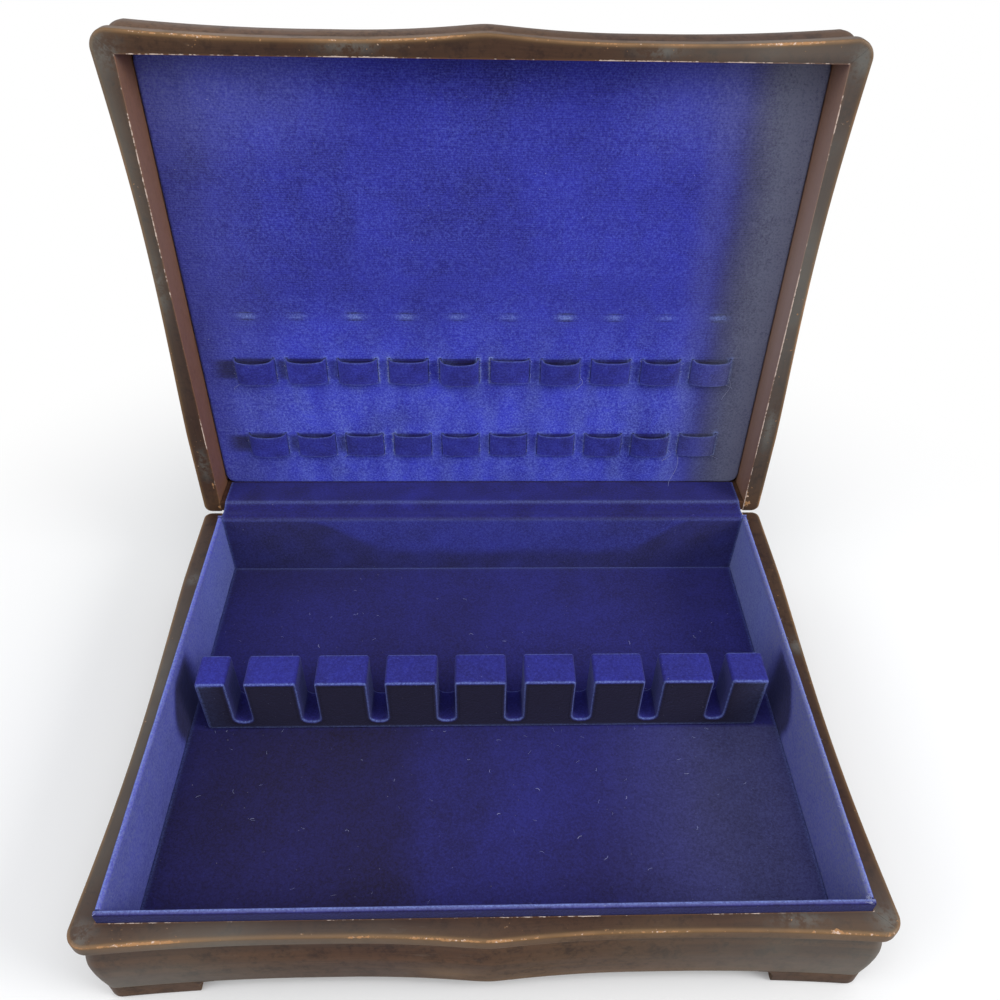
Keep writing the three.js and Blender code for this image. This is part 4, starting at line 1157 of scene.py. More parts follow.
class CHEST_OT_rack(bpy.types.Operator):
    """Makes the velvet rack with its row of slots"""

    bl_idname = "chest.rack"
    bl_label = "Silver rack"

    # How far in from the outline the front and back are split, past the rounded edge
    FACE_SPLITS = np.array([3.2, 1.6, 0.7]) * MM

    # Steps round a corner of the outline, round the edge and from front to back
    CORNER_STEPS, ROUND_STEPS, DEPTH_STEPS = 7, 6, 11

    def corners(self, lining, low, high):
        """The rack's corners from the front, anticlockwise: centre, radius and both angles."""
        first = low.x + lining.left_slot
        last = high.x - lining.right_slot
        half = lining.slot_width / 2
        floor = low.z + lining.slot_floor
        r, foot = lining.rack_round, lining.slot_corner
        corners = [
            (low.x + r, low.z + r, r, 180, 270),
            (high.x - r, low.z + r, r, 270, 360),
            (high.x - r, high.z - r, r, 0, 90),
        ]
        for middle in np.linspace(last, first, lining.slots):
            corners += [
                (middle + half + r, high.z - r, r, 90, 180),
                (middle + half - foot, floor + foot, foot, 0, -90),
                (middle - half + foot, floor + foot, foot, -90, -180),
                (middle - half - r, high.z - r, r, 0, 90),
            ]
        corners.append((low.x + r, high.z - r, r, 90, 180))
        return corners

    def ring(self, corners, inset):
        """The outline moved in, with outer corners that stay sharp past their own radius."""
        ring, upright = [], []
        for x, z, radius, start, stop in corners:
            angle = np.radians(np.linspace(start, stop, self.CORNER_STEPS + 1))
            way = np.stack([np.cos(angle), np.sin(angle)], 1)
            outward = 1 if stop > start else -1
            past = max(inset - radius, 0) * outward
            reach = radius - inset if outward > 0 else radius + inset
            place = np.array([x, z]) + way * max(reach, 0)
            if past > 0:
                place = place - past * (way[0] + way[-1])
            ring.append(place)
            upright.append(outward * way[:, 1])
        return np.concatenate(ring), np.concatenate(upright)

    def execute(self, context):
        lining = context.scene.chest_lining
        low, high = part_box("silver_rack")
        corners = self.corners(lining, low, high)
        r = lining.rack_round
        depth = high.y - low.y
        inner = self.FACE_SPLITS + np.array([0, r / 2, r])
        arc = quarter(self.ROUND_STEPS)
        insets = np.concatenate([inner, r * (1 - np.sin(arc))])
        runs = np.concatenate([0 * inner, r * (1 - np.cos(arc))])
        middle = np.linspace(r, depth - r, self.DEPTH_STEPS + 1)[1:-1]
        runs = np.concatenate([runs, middle, (depth - runs)[::-1]])
        insets = np.concatenate([insets, 0 * middle, insets[::-1]])
        rings, nap, edge = [], [], []
        for run, inset in zip(runs, insets):
            place, upright = self.ring(corners, inset)
            x, z = place.T
            rings.append(np.stack([x, np.full(len(place), low.y + run), z], 1))
            # Painted light and shade: faces that look up are painted lighter and darker down in
            # the slots, and the front and back faces nearly black
            level = np.clip(upright, 0, 1) * (0.5 + 0.5 * smooth(low.z, high.z - 2 * MM, z))
            facing = smooth(0.25 * r, r, inset)
            nap.append((0.13 + 0.19 * level) * (1 - facing) - 0.02 * facing)

            # A worn line runs along each turned edge, and down both ends of the front
            turn = math.degrees(math.acos(np.clip(1 - min(run, depth - run) / r, 0, 1)))
            near = 0.75 * hill(turn - 50, 15) if inset <= r else 0
            ends = np.minimum(x - low.x, high.x - x)
            turned = 0.5 * hill(ends - 1.6 * MM, 1.3 * MM) * (run < 0.6 * r)
            edge.append(np.maximum(near, turned))
        points = np.array(rings).reshape(-1, 3)
        faces = loft_faces(len(rings), len(place))
        marks = pile_marks(points, nap, edge)
        make_piece(
            "silver_rack", points, faces, ("base", "velvet"), "base_velvet", marks, sharp=60
        )
        return {"FINISHED"}


# Room round a ribbon in its slit and behind the panel
SLIT_ROOM = 0.3 * MM


class LoopRow:
    """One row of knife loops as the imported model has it, with the lid turned down."""

    def __init__(self, node, lining):
        low, high = closed_box(node)
        panel = closed_box("lid_panel")
        self.face, self.behind = panel[0][2], panel[1][2]
        self.centre, self.half_width = (low[1] + high[1]) / 2, (high[1] - low[1]) / 2
        self.rise = self.face - low[2]
        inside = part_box("liner_right")[0].x
        pitch = 2 * (inside - lining.loop_inset) / (lining.loops - 1)
        self.middles = (np.arange(lining.loops) - (lining.loops - 1) / 2) * pitch
        self.leg = (pitch - lining.loop_gap - lining.ribbon) / 2
        self.tail = self.middles[0] - self.leg - low[0]
        self.slit = lining.ribbon / 2 + SLIT_ROOM


def lid_dust_and_reflection(x):
    """How much dust and painted reflection the lid's velvet has across the panel: its right margin
    is dull and grey.
    """
    share = x / closed_box("lid_panel")[1][0]
    return 0.16 * smooth(0.64, 0.74, share) + 0.84 * smooth(0.76, 0.98, share)


class CHEST_OT_lid_panel(bpy.types.Operator):
    """Makes the lid's velvet panel, with a slit on each side of every loop"""

    bl_idname = "chest.lid_panel"
    bl_label = "Lid panel"

    # How worn the slits are on the left and the right of each loop
    LIPS_UPPER = (
        (0.1, 0.2), (0.2, 0.3), (0.1, 0.9), (1, 0.3), (0.3, 1),
        (1, 0.3), (0.2, 0.3), (0.2, 0.4), (0.2, 0.3), (0.3, 1),
    )
    LIPS_LOWER = (
        (0.1, 0.3), (0.1, 0.2), (0.1, 0.6), (0.7, 0.3), (0.2, 0.3),
        (0.2, 0.2), (0.2, 0.4), (0.3, 0.3), (0.2, 0.7), (0.4, 1),
    )

    # How dark the painted shadow is beside each loop, on its left
    SHADE_SHARES = (
        (1, 0.9, 0.7, 0.3, 0.5, 0.55, 0.45, 0.3, 0.4, 0.3),
        (1, 0.85, 0.75, 0.35, 0.45, 0.45, 0.45, 0.4, 0.7, 0.35),
    )

    # Distances of grid lines from the panel's edges, from a slit's sides and from its ends
    NEAR_EDGE = np.array([0, 0.2, 0.5, 0.9, 1.4, 1.9, 2.6, 4.0]) * MM
    BESIDE_SLIT = np.array([0, 0.5, 1.2, 2.4]) * MM
    PAST_SLIT = np.array([0, 0.5, 1.3]) * MM

    # The line that knife tips have crushed, above the upper row, and the grid lines across it
    CRUSH_RISE = 38.6 * MM
    ACROSS_CRUSH = np.linspace(-4.4, 4.4, 19) * MM

    # Even steps across the panel and down it, and how near a slit's side or end they may come
    STEPS = (150, 70)
    CLEAR_OF_SIDE, CLEAR_OF_END, CLEAR_OF_CRUSH = 2.6 * MM, 2.0 * MM, 5 * MM

    def execute(self, context):
        lining = context.scene.chest_lining
        self.rows = [LoopRow(n, lining) for n in ("upper_loop_band", "lower_loop_band")]
        self.low, self.high = closed_box("lid_panel")
        first = self.rows[0]
        self.slits = np.sort(
            np.concatenate([first.middles - first.leg, first.middles + first.leg])
        )
        self.reach = first.half_width + SLIT_ROOM
        self.crush = first.centre - self.CRUSH_RISE
        x, y = self.grid_lines()
        grid_x, grid_y = np.meshgrid(x, y, indexing="ij")
        points, marks = self.surface(lining, grid_x, grid_y)
        faces = shell_faces(grid_x.shape, self.uncut(x, y))
        panel = make_piece(
            "lid_panel", points, faces, ("lid", "velvet_light"), "lid_velvet", marks,
            sharp=50, turn=OPEN,
        )
        return {"FINISHED"}

    def grid_lines(self):
        """Even lines both ways, with closer ones at the edges, the slits and the crushed line."""
        slit = self.rows[0].slit
        x, y = (
            edge_lines(self.low[i], self.high[i], self.NEAR_EDGE, self.STEPS[i]) for i in (0, 1)
        )
        x = x[np.all(np.abs(x[:, None] - self.slits) > slit + self.CLEAR_OF_SIDE, axis=1)]
        beside = slit + self.BESIDE_SLIT
        x = np.sort(np.concatenate(
            [x] + [self.slits + d for d in beside] + [self.slits - d for d in beside]
        ))
        ends = np.array([row.centre + way * self.reach for row in self.rows for way in (-1, 1)])
        y = y[np.all(np.abs(y[:, None] - ends) > self.CLEAR_OF_END, axis=1)]
        past = self.PAST_SLIT
        y = np.concatenate([y] + [ends + d for d in past] + [ends - d for d in past[1:]])
        y = y[np.abs(y - self.crush) > self.CLEAR_OF_CRUSH]
        return x, np.sort(np.concatenate([y, self.crush + self.ACROSS_CRUSH]))

    def uncut(self, x, y):
        """Which cells of the grid lie in no slit."""
        middle_x, middle_y = (x[1:] + x[:-1]) / 2, (y[1:] + y[:-1]) / 2
        in_slit = np.any(np.abs(middle_x[:, None] - self.slits) < self.rows[0].slit, axis=1)
        in_row = np.any(
            [np.abs(middle_y - row.centre) < self.reach for row in self.rows], axis=0
        )
        return ~(in_slit[:, None] & in_row)

    def surface(self, lining, grid_x, y):
        """Both faces of the panel, with its soft edges, slit lips and the marks of knife tips."""
        low, high, rows = self.low, self.high, self.rows
        radius = lining.panel_corner
        beyond = np.clip(np.maximum(low[1] + radius - y, y - high[1] + radius), 0, radius)
        narrow = radius - np.sqrt(radius**2 - beyond**2)
        x = grid_x * (high[0] - narrow) / high[0]

        # How deep each point lies inside the rounded outline
        flat_x = np.abs(x) - (high[0] - radius)
        flat_y = np.abs(y - (low[1] + high[1]) / 2) - ((high[1] - low[1]) / 2 - radius)
        outside = np.hypot(np.clip(flat_x, 0, None), np.clip(flat_y, 0, None))
        inside = np.clip(np.maximum(flat_x, flat_y), None, 0)
        depth = np.clip(radius - outside - inside, 0, None)
        r = lining.edge_round
        back_off = r - np.sqrt(np.clip(r * r - np.clip(r - depth, 0, None) ** 2, 0, None))
        wave = 0.12 * MM * (1 + ripple(x, y, 70 * MM, seed=3)) / 2 * smooth(0, 10 * MM, depth)

        # The slits' lips
        aside = np.min(np.abs(x[..., None] - self.slits), axis=-1) - rows[0].slit
        past = np.min([np.abs(y - row.centre) for row in rows], axis=0) - self.reach
        lips = hill(np.hypot(np.clip(aside, 0, None), np.clip(past, 0, None)), 1.0 * MM)

        # Above each loop, the marks of knife tips
        nearest = np.argmin(np.abs(x[..., None] - rows[0].middles), axis=-1)
        middle = rows[0].middles[nearest]
        shift = ripple(rows[0].middles, 0 * rows[0].middles, 30 * MM, seed=8)[nearest]
        along = hill(x - middle - 1.4 * MM * shift, 5.2 * MM)
        along *= np.clip(0.9 + 0.5 * shift, 0.5, 1)
        above = y - self.crush
        print_in = along * hill(above, 1.5 * MM)
        brushed = along * hill(above, 5 * MM)
        crease = along * hill(np.abs(above) - 2.4 * MM, 0.6 * MM)

        z = low[2] + back_off + wave - 0.35 * MM * lips + 0.3 * MM * brushed
        z = z - 0.15 * MM * print_in
        front = np.stack([x, y, z], -1).reshape(-1, 3)
        back = np.stack([x, y, np.full(x.shape, high[2])], -1).reshape(-1, 3)
        points = np.concatenate([front, back])

        ragged = np.array((self.LIPS_UPPER, self.LIPS_LOWER))
        lower = (np.abs(y - rows[0].centre) >= np.abs(y - rows[1].centre)).astype(int)
        on_right = (x > middle).astype(int)
        lips = lips * np.clip(ragged[lower, nearest, on_right] + 0.12, 0, 1)
        edge = 0.9 * lips + 0.9 * print_in + 0.2 * brushed
        return points, pile_marks(points, *self.pile(x, y, edge, crease))

    def pile(self, x, y, edge, crease):
        """How the pile lies with painted light and shade, its worn edges, and its dust with a
        painted reflection.
        The right margin is dull and dusty, with a painted shadow and a painted reflection.
        """
        upper = self.rows[0].centre
        share = x / self.high[0]
        bright = smooth(upper - 62 * MM, upper + 40 * MM, y)
        middle = 1 - smooth(0.45, 0.95, np.abs(x + 12 * MM) / self.high[0])
        far_edge = 1 - smooth(15 * MM, 75 * MM, y - self.low[1])
        far_edge = far_edge * smooth(0.3, 0.7, np.abs(share))
        nap = 0.52 + 0.32 * bright + 0.06 * middle + 0.06 * ripple(x, y, 90 * MM, seed=12)
        streaks = ripple(x, 0 * x, 22 * MM, seed=14) + ripple(x, y, 35 * MM, seed=15)
        nap += 0.07 * bright * streaks
        nap += 0.16 * far_edge + 0.03 * (1 - bright) * smooth(0.3, 0.8, -share)
        # Painted shadow of the lid's right wall: the right margin is darker
        right = smooth(0.70, 0.92, share)
        dull = band(0.74, 0.84, 0.90, 1.0, share)
        nap *= (1 - 0.7 * right) * (1 - 0.35 * dull) * (1 - crease)
        # Painted shade under the loops, and a painted shadow on the left of each
        for row, depths in zip(self.rows, self.SHADE_SHARES):
            nap *= 1 - self.shade(row, depths, x, y)
        rubbed = 0.26 * np.clip(0.35 + ripple(x, 0.5 * y, 26 * MM, seed=17), 0, 1)
        edge = np.clip(edge + rubbed * bright * smooth(0, 0.3, 1 - np.abs(share)), 0, 1)
        dust = lid_dust_and_reflection(x) + 0.16 * smooth(0.6, 1.0, -share) + 0.20 * far_edge
        return nap, edge, np.clip(dust, 0, 1)

    def shade(self, row, depths, x, y):
        """How far the pile is darkened by painted shade under the loops, and by a painted shadow
        on the left of each.
        """
        along = np.abs(y - row.centre) / row.half_width
        level = np.zeros(x.shape)
        for middle, depth in zip(row.middles, depths):
            from_left = x - (middle - row.leg)
            under = (from_left > 0) * (from_left < 2 * row.leg) * (1 - smooth(0.82, 1.02, along))
            reach = (20 if middle == row.middles[0] else 10) * MM
            patch = (from_left <= 0) * (1 - smooth(0.35, 1.0, -from_left / reach))
            patch = patch * (1 - smooth(0.6, 0.95, along)) * depth
            level = np.maximum(level, np.maximum(0.85 * under, 0.76 * patch))
        return level


class CHEST_OT_loops(bpy.types.Operator):
    """Threads one ribbon through the slits of each row"""

    bl_idname = "chest.loops"
    bl_label = "Knife loops"

    # How far each loop stands out, as shares of the row's rise: at its far and its near edge
    FAR_SHARES = {
        "upper_loop_band": (1.25, 1.15, 0.85, 0.9, 1.35, 0.6, 1.35, 0.95, 0.95, 1.05),
        "lower_loop_band": (0.95, 0.85, 0.7, 0.75, 0.8, 0.6, 0.75, 0.8, 1.1, 0.75),
    }
    NEAR_SHARES = {
        "upper_loop_band": (0.8, 0.75, 0.6, 0.6, 0.9, 0.45, 0.8, 0.6, 0.6, 0.8),
        "lower_loop_band": (0.65, 0.5, 0.45, 0.45, 0.5, 0.4, 0.45, 0.5, 0.7, 0.5),
    }

    # Lines along a ribbon, from its middle at 0 to its edge at 1
    ACROSS = np.array([0.3, 0.55, 0.75, 0.86, 0.93, 0.97, 1])

    # Steps over a loop, how deep in its slits a ribbon turns, and where the draws start
    LOOP_STEPS, SLIT_DEPTH, SEED = 26, 0.8 * MM, 40

    # How worn a ribbon's hems are, and how much less dust and painted reflection it has than the
    # panel
    HEM_WEAR, DUST_SHARE = 0.30, 0.8

    def execute(self, context):
        lining = context.scene.chest_lining
        for seed, node in enumerate(self.FAR_SHARES):
            self.band(node, LoopRow(node, lining), lining, seed)
        return {"FINISHED"}

    def band(self, node, row, lining, seed):
        """One ribbon: an inner and an outer face on each side of its middle."""
        draw = np.random.default_rng(self.SEED + seed)
        across = np.concatenate([-self.ACROSS[::-1], [0], self.ACROSS])
        columns = self.columns(row, node, lining, across, draw)
        line, hem = columns[..., :3], columns[..., 3]
        ahead = np.diff(line, axis=0, append=2 * line[-1:] - line[-2:-1])
        before = np.diff(line, axis=0, prepend=2 * line[:1] - line[1:2])
        along = sum(way / np.hypot(way[..., 0], way[..., 2])[..., None] for way in (ahead, before))
        side = np.stack([-along[..., 2], 0 * along[..., 0], along[..., 0]], -1)
        side = side / np.linalg.norm(side, axis=-1, keepdims=True)
        thick = lining.ribbon * (0.42 + 0.10 * smooth(0.7, 0.9, np.abs(across)) * (hem > 0))
        inner = line + side * thick[..., None]
        outer = line - side * thick[..., None]
        points = np.concatenate([inner.reshape(-1, 3), outer.reshape(-1, 3)])

        # The inner face lies in the dark: it is painted nearly black, a painted shade
        nap = 0.46 + 0.08 * ripple(line[..., 0], line[..., 1], 14 * MM, seed)
        nap = np.stack([np.full(nap.shape, 0.02), nap])
        dust = self.DUST_SHARE * lid_dust_and_reflection(line[..., 0])
        marks = pile_marks(points, nap, self.HEM_WEAR * hem, dust)
        faces = shell_faces(line.shape[:2])
        piece = make_piece(
            node, points, faces, ("lid", "velvet_light"), "lid_velvet", marks,
            sharp=60, turn=OPEN,
        )
        spans = np.linalg.norm(np.diff(line, axis=0), axis=-1)
        flat = (float(spans.sum(0).mean()), 2 * row.half_width)

    def columns(self, row, node, lining, across, draw):
        """The ribbon's middle from end to end, in columns across it, with its hem marks."""
        behind = row.behind + SLIT_ROOM + lining.ribbon / 2
        in_slit = row.face + self.SLIT_DEPTH
        straight = row.centre + across * row.half_width

        def column(x, z, y=straight, hem=0.0):
            return np.stack([x + 0 * across, y + 0 * across, z + 0 * across, hem + 0 * across], 1)

        columns = [column(row.middles[0] - row.leg - row.tail, behind)]
        for middle, far, near in zip(row.middles, self.FAR_SHARES[node], self.NEAR_SHARES[node]):
            lean, sag = draw.uniform(-0.5, 0.5), draw.uniform(0.1, 0.9) * MM
            rise = row.rise * (near + (far - near) * (1 - across) / 2) - lining.ribbon / 2
            columns += [column(middle - row.leg, z) for z in (behind, in_slit)]
            for angle in np.linspace(0, math.pi, self.LOOP_STEPS + 1):
                up = math.sin(angle)
                ear = hill(up, 0.28) * smooth(0.25, 0.6, up**0.5)
                y = row.centre + across * (row.half_width - 0.3 * MM) + 0.9 * sag * up
                y = y - 1.6 * MM * ear * smooth(0.2, 1.0, -across)
                hem = np.maximum(smooth(0.88, 1, np.abs(across)), 0.5 * ear)
                z = row.face - rise * up ** (0.62 + 0.1 * lean)
                columns.append(column(middle - row.leg * math.cos(angle), z, y, hem))
            columns += [column(middle + row.leg, z) for z in (in_slit, behind)]
        columns.append(column(row.middles[-1] + row.leg + row.tail, behind))
        return np.array(columns)


class CHEST_OT_hinge_flap(bpy.types.Operator):
    """Lays the velvet strip over the hinge line"""

    bl_idname = "chest.hinge_flap"
    bl_label = "Hinge flap"

    # Distances of the grid's outer lines from the strip's ends, and steps across and along
    NEAR_END = np.array([0, 0.4, 1.0, 2.0, 4.0]) * MM
    STEPS, STEP = 120, 1.0 * MM

    # Steps round the liner's crest, and how often the path's corners are cut
    CREST_STEPS, CUTS = 5, 3

    # How clear the strip lies of what is behind it, how far it sags over the joint, and how far
    # below the liner's crest its turned edge shows as a light line
    CLEAR, SAG, LIP_DROP = 0.3 * MM, 1.6 * MM, 2.6 * MM

    def path(self, lining):
        """The strip from the side: Y and Z of its middle, from the lid's back wall downwards."""
        away = lining.flap / 2 + self.CLEAR
        panel, back = closed_box("lid_panel"), closed_box("lid_back")
        low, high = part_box("liner_back")
        radius = (high.y - low.y) / 2
        wall = back[0][1] - away

        def when_open(z):
            place = OPEN @ Vector((0, wall, z))
            return np.array([place.y, place.z])

        lid_edge = when_open(back[0][2] - away)
        on_lip = np.array([low.y + radius, high.z + away])
        points = [
            when_open(panel[0][2] - away),
            when_open(back[0][2] + 3 * lining.flap),
            when_open(back[0][2] + lining.flap),
            lid_edge,
            (lid_edge + on_lip) / 2 - np.array([0, self.SAG]),
        ]
        centre = np.array([low.y + radius, high.z - radius])
        for angle in quarter(self.CREST_STEPS):
            way = np.array([-math.sin(angle), math.cos(angle)])
            points.append(centre + (radius + away) * way)
        points.append(np.array([low.y - away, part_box("floor_pad")[0].z + self.CLEAR]))
        path = resample(corners_cut(np.array(points), self.CUTS), self.STEP)
        return path, lid_edge, on_lip

    def execute(self, context):
        lining = context.scene.chest_lining
        path, lid_edge, on_lip = self.path(lining)
        path_y, path_z = path.T
        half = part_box("hinge_flap")[1].x
        x = edge_lines(-half, half, self.NEAR_END, self.STEPS)
        along = np.gradient(path, axis=0)
        along /= np.linalg.norm(along, axis=1, keepdims=True)
        grid_x = np.broadcast_to(x, (len(path), len(x)))
        run = np.broadcast_to((np.arange(len(path)) * self.STEP)[:, None], grid_x.shape)
        free = hill(path_y - (lid_edge[0] + on_lip[0]) / 2, 4 * MM)[:, None]
        slack = 0.5 * MM * ripple(grid_x, run * 0.4, 45 * MM, seed=21) * free
        pucker = 0.05 * MM * ripple(grid_x, run * 0.3, 14 * MM, seed=22)
        layers = []
        for way in (1, -1):
            out = way * lining.flap / 2 + slack + pucker
            y = path_y[:, None] - along[:, 1:] * out
            z = path_z[:, None] + along[:, :1] * out
            layers.append(np.stack([grid_x, y, z], -1).reshape(-1, 3))
        points = np.concatenate(layers)
        marks = pile_marks(points, *self.pile(path, lid_edge, on_lip, grid_x, run, half))
        faces = shell_faces(grid_x.shape)
        flap = make_piece(
            "hinge_flap", points, faces, (None, "velvet"), "base_velvet", marks, sharp=60
        )
        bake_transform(flap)
        return {"FINISHED"}

    def pile(self, path, lid_edge, on_lip, grid_x, run, half):
        """How the pile lies, its worn edges and its dust: painted light falls on it where it
        hangs.
        """
        path_y, path_z = path.T
        lip = hill(path_z - on_lip[1] + self.LIP_DROP, 1.2 * MM) * (path_y < on_lip[0] + 2 * MM)
        fold = hill(np.linalg.norm(path - lid_edge, axis=1), 1.3 * MM)
        lip, fold = (np.broadcast_to(level[:, None], grid_x.shape) for level in (lip, fold))
        hung = np.where(path_y < on_lip[0], on_lip[1] - path_z, 0)[:, None]
        reach = 4 * MM + 32 * MM * band(-0.13, -0.06, 0.10, 0.15, grid_x)
        lit = smooth(1.4 * MM, 3.4 * MM, hung) * (1 - smooth(0.75, 1.1, hung / reach))
        nap = 0.20 + 0.22 * lit + 0.04 * ripple(grid_x, run, 30 * MM, seed=23)
        trim = 1 - smooth(0, 1.5 * MM, half - np.abs(grid_x))
        edge = np.clip(0.12 * lip + 0.28 * fold + 0.5 * trim, 0, 1)
        return nap, edge, 0.10 * (lip + fold) + 0.07 * smooth(0, 2 * MM, hung)


def corners_cut(points, times):
    """A softer line through the same place, by cutting its corners again and again."""
    for _ in range(times):
        first, second = points[:-1], points[1:]
        inner = np.stack([first * 0.75 + second * 0.25, first * 0.25 + second * 0.75], 1)
        points = np.concatenate([points[:1], inner.reshape(-1, points.shape[1]), points[-1:]])
    return points


def resample(points, step):
    """Points an even step apart along a line."""
    run = np.concatenate([[0], np.cumsum(np.linalg.norm(np.diff(points, axis=0), axis=1))])
    marks = np.linspace(0, run[-1], int(run[-1] / step) + 1)
    return np.stack([np.interp(marks, run, points[:, k]) for k in range(points.shape[1])], 1)


class CHEST_OT_hinges(bpy.types.Operator):
    """Dresses the butt hinges in tarnished brass"""

    bl_idname = "chest.hinges"
    bl_label = "Hinges"

    def execute(self, context):
        for name, node in frame["nodes"].items():
            if name.startswith(("left_hinge", "right_hinge")) or "screw" in name:
                dress(node, "tarnished_brass")
        return {"FINISHED"}


class Threads(Grower):
    """Fills the node group that scatters curled threads and gives long strands their thickness."""

    # The group's sizes: length and radius of a thread, and its bow as a share of its length
    SIZES = {"Length": 2.6 * MM, "Radius": 0.09 * MM, "Curl": 0.45}

    # How much of its length the middle of a thread stands up, and the steps along and round it
    LIFT_SHARE = 0.2
    ALONG_STEPS, ROUND_STEPS = 6, 4

    # The least and the most that a copy is stretched: along, across and upwards
    LEAST_STRETCH, MOST_STRETCH = (0.4, -1.0, 0.6), (1.3, 1.0, 1.2)

    def __init__(self):
        super().__init__(bpy.data.node_groups.new("loose_threads", "GeometryNodeTree"))
        self.side("Patches", "Geometry")
        for name, value in self.SIZES.items():
            self.side(name, "Float").default_value = value
        self.side("Seed", "Int")
        self.side("Finish", "Material")
        self.side("Threads", "Geometry", "OUTPUT")
        profile = self.node("GeometryNodeCurvePrimitiveCircle", None, {
            "Resolution": self.ROUND_STEPS, "Radius": self.given("Radius"),
        })
        both = self.tree.nodes.new("GeometryNodeJoinGeometry")
        for part in (self.copies(profile), self.strands(profile)):
            self.tree.links.new(part.socket, both.inputs[0])
        coated = self.node("GeometryNodeSetMaterial", None, {
            "Geometry": Value(self, both.outputs[0]), "Material": self.given("Finish"),
        })
        self.node("NodeGroupOutput", None, {"Threads": coated})

    def side(self, name, kind, way="INPUT"):
        """Adds one of the group's own sockets."""
        return self.tree.interface.new_socket(name, in_out=way, socket_type=f"NodeSocket{kind}")

    def given(self, name):
        """What the group is given under a name."""
        return self.node("NodeGroupInput", out=name)

    def level(self, name):
        """A level that is kept at the patches' points."""
        kind = "GeometryNodeInputNamedAttribute"
        return self.node(kind, {"data_type": "FLOAT"}, {"Name": name}, "Attribute")

    def joined(self, x, y, z):
        return self.node("ShaderNodeCombineXYZ", None, {0: x, 1: y, 2: z})

    def drawn(self, low, high, seed):
        """A random vector for each copy."""
        return self.node("FunctionNodeRandomValue", {"data_type": "FLOAT_VECTOR"}, {
            "Min": low, "Max": high, "Seed": seed,
        })

    def thick(self, curve, profile):
        return self.node("GeometryNodeCurveToMesh", None, {
            "Curve": curve, "Profile Curve": profile, "Fill Caps": True,
        })

    def bow(self):
        """The line of one short thread."""
        rise = self.given("Length") * self.LIFT_SHARE
        return self.node("GeometryNodeCurveQuadraticBezier", None, {
            "Resolution": self.ALONG_STEPS,
            "Start": self.joined(self.given("Length") * -0.5, 0.0, 0.0),
            "Middle": self.joined(0.0, self.given("Length") * self.given("Curl"), rise),
            "End": self.joined(self.given("Length") * 0.5, 0.0, 0.0),
        })

    def copies(self, profile):
        """Short threads on the patches, turned any way round and tilted as each patch says."""
        spread = self.node("GeometryNodeDistributePointsOnFaces", None, {
            "Mesh": self.given("Patches"),
            "Density": self.level("density"),
            "Seed": self.given("Seed"),
        }, "Points")
        stand = self.level("stand")
        swing = self.node("ShaderNodeVectorMath", {"operation": "MULTIPLY"}, {
            0: self.drawn((-1.0, -1.0, -math.pi), (1.0, 1.0, math.pi), self.given("Seed")),
            1: self.joined(stand, stand, 1.0),
        })
        turned = self.node("FunctionNodeRotateRotation", {"rotation_space": "LOCAL"}, {
            "Rotation": self.other_output(spread, "Rotation"), "Rotate By": swing,
        })
        placed = self.node("GeometryNodeInstanceOnPoints", None, {
            "Points": spread,
            "Instance": self.thick(self.bow(), profile),
            "Rotation": turned,
            "Scale": self.drawn(self.LEAST_STRETCH, self.MOST_STRETCH, self.given("Seed") + 1),
        })
        return self.node("GeometryNodeRealizeInstances", None, {"Geometry": placed})

    def strands(self, profile):
        """The long strands, which are the patches' edges with no face beside them."""
        loose = self.math("LESS_THAN", self.node("GeometryNodeInputMeshEdgeNeighbors"), 0.5)
        lines = self.node("GeometryNodeMeshToCurve", None, {
            "Mesh": self.given("Patches"), "Selection": loose,
        })
        return self.thick(lines, profile)


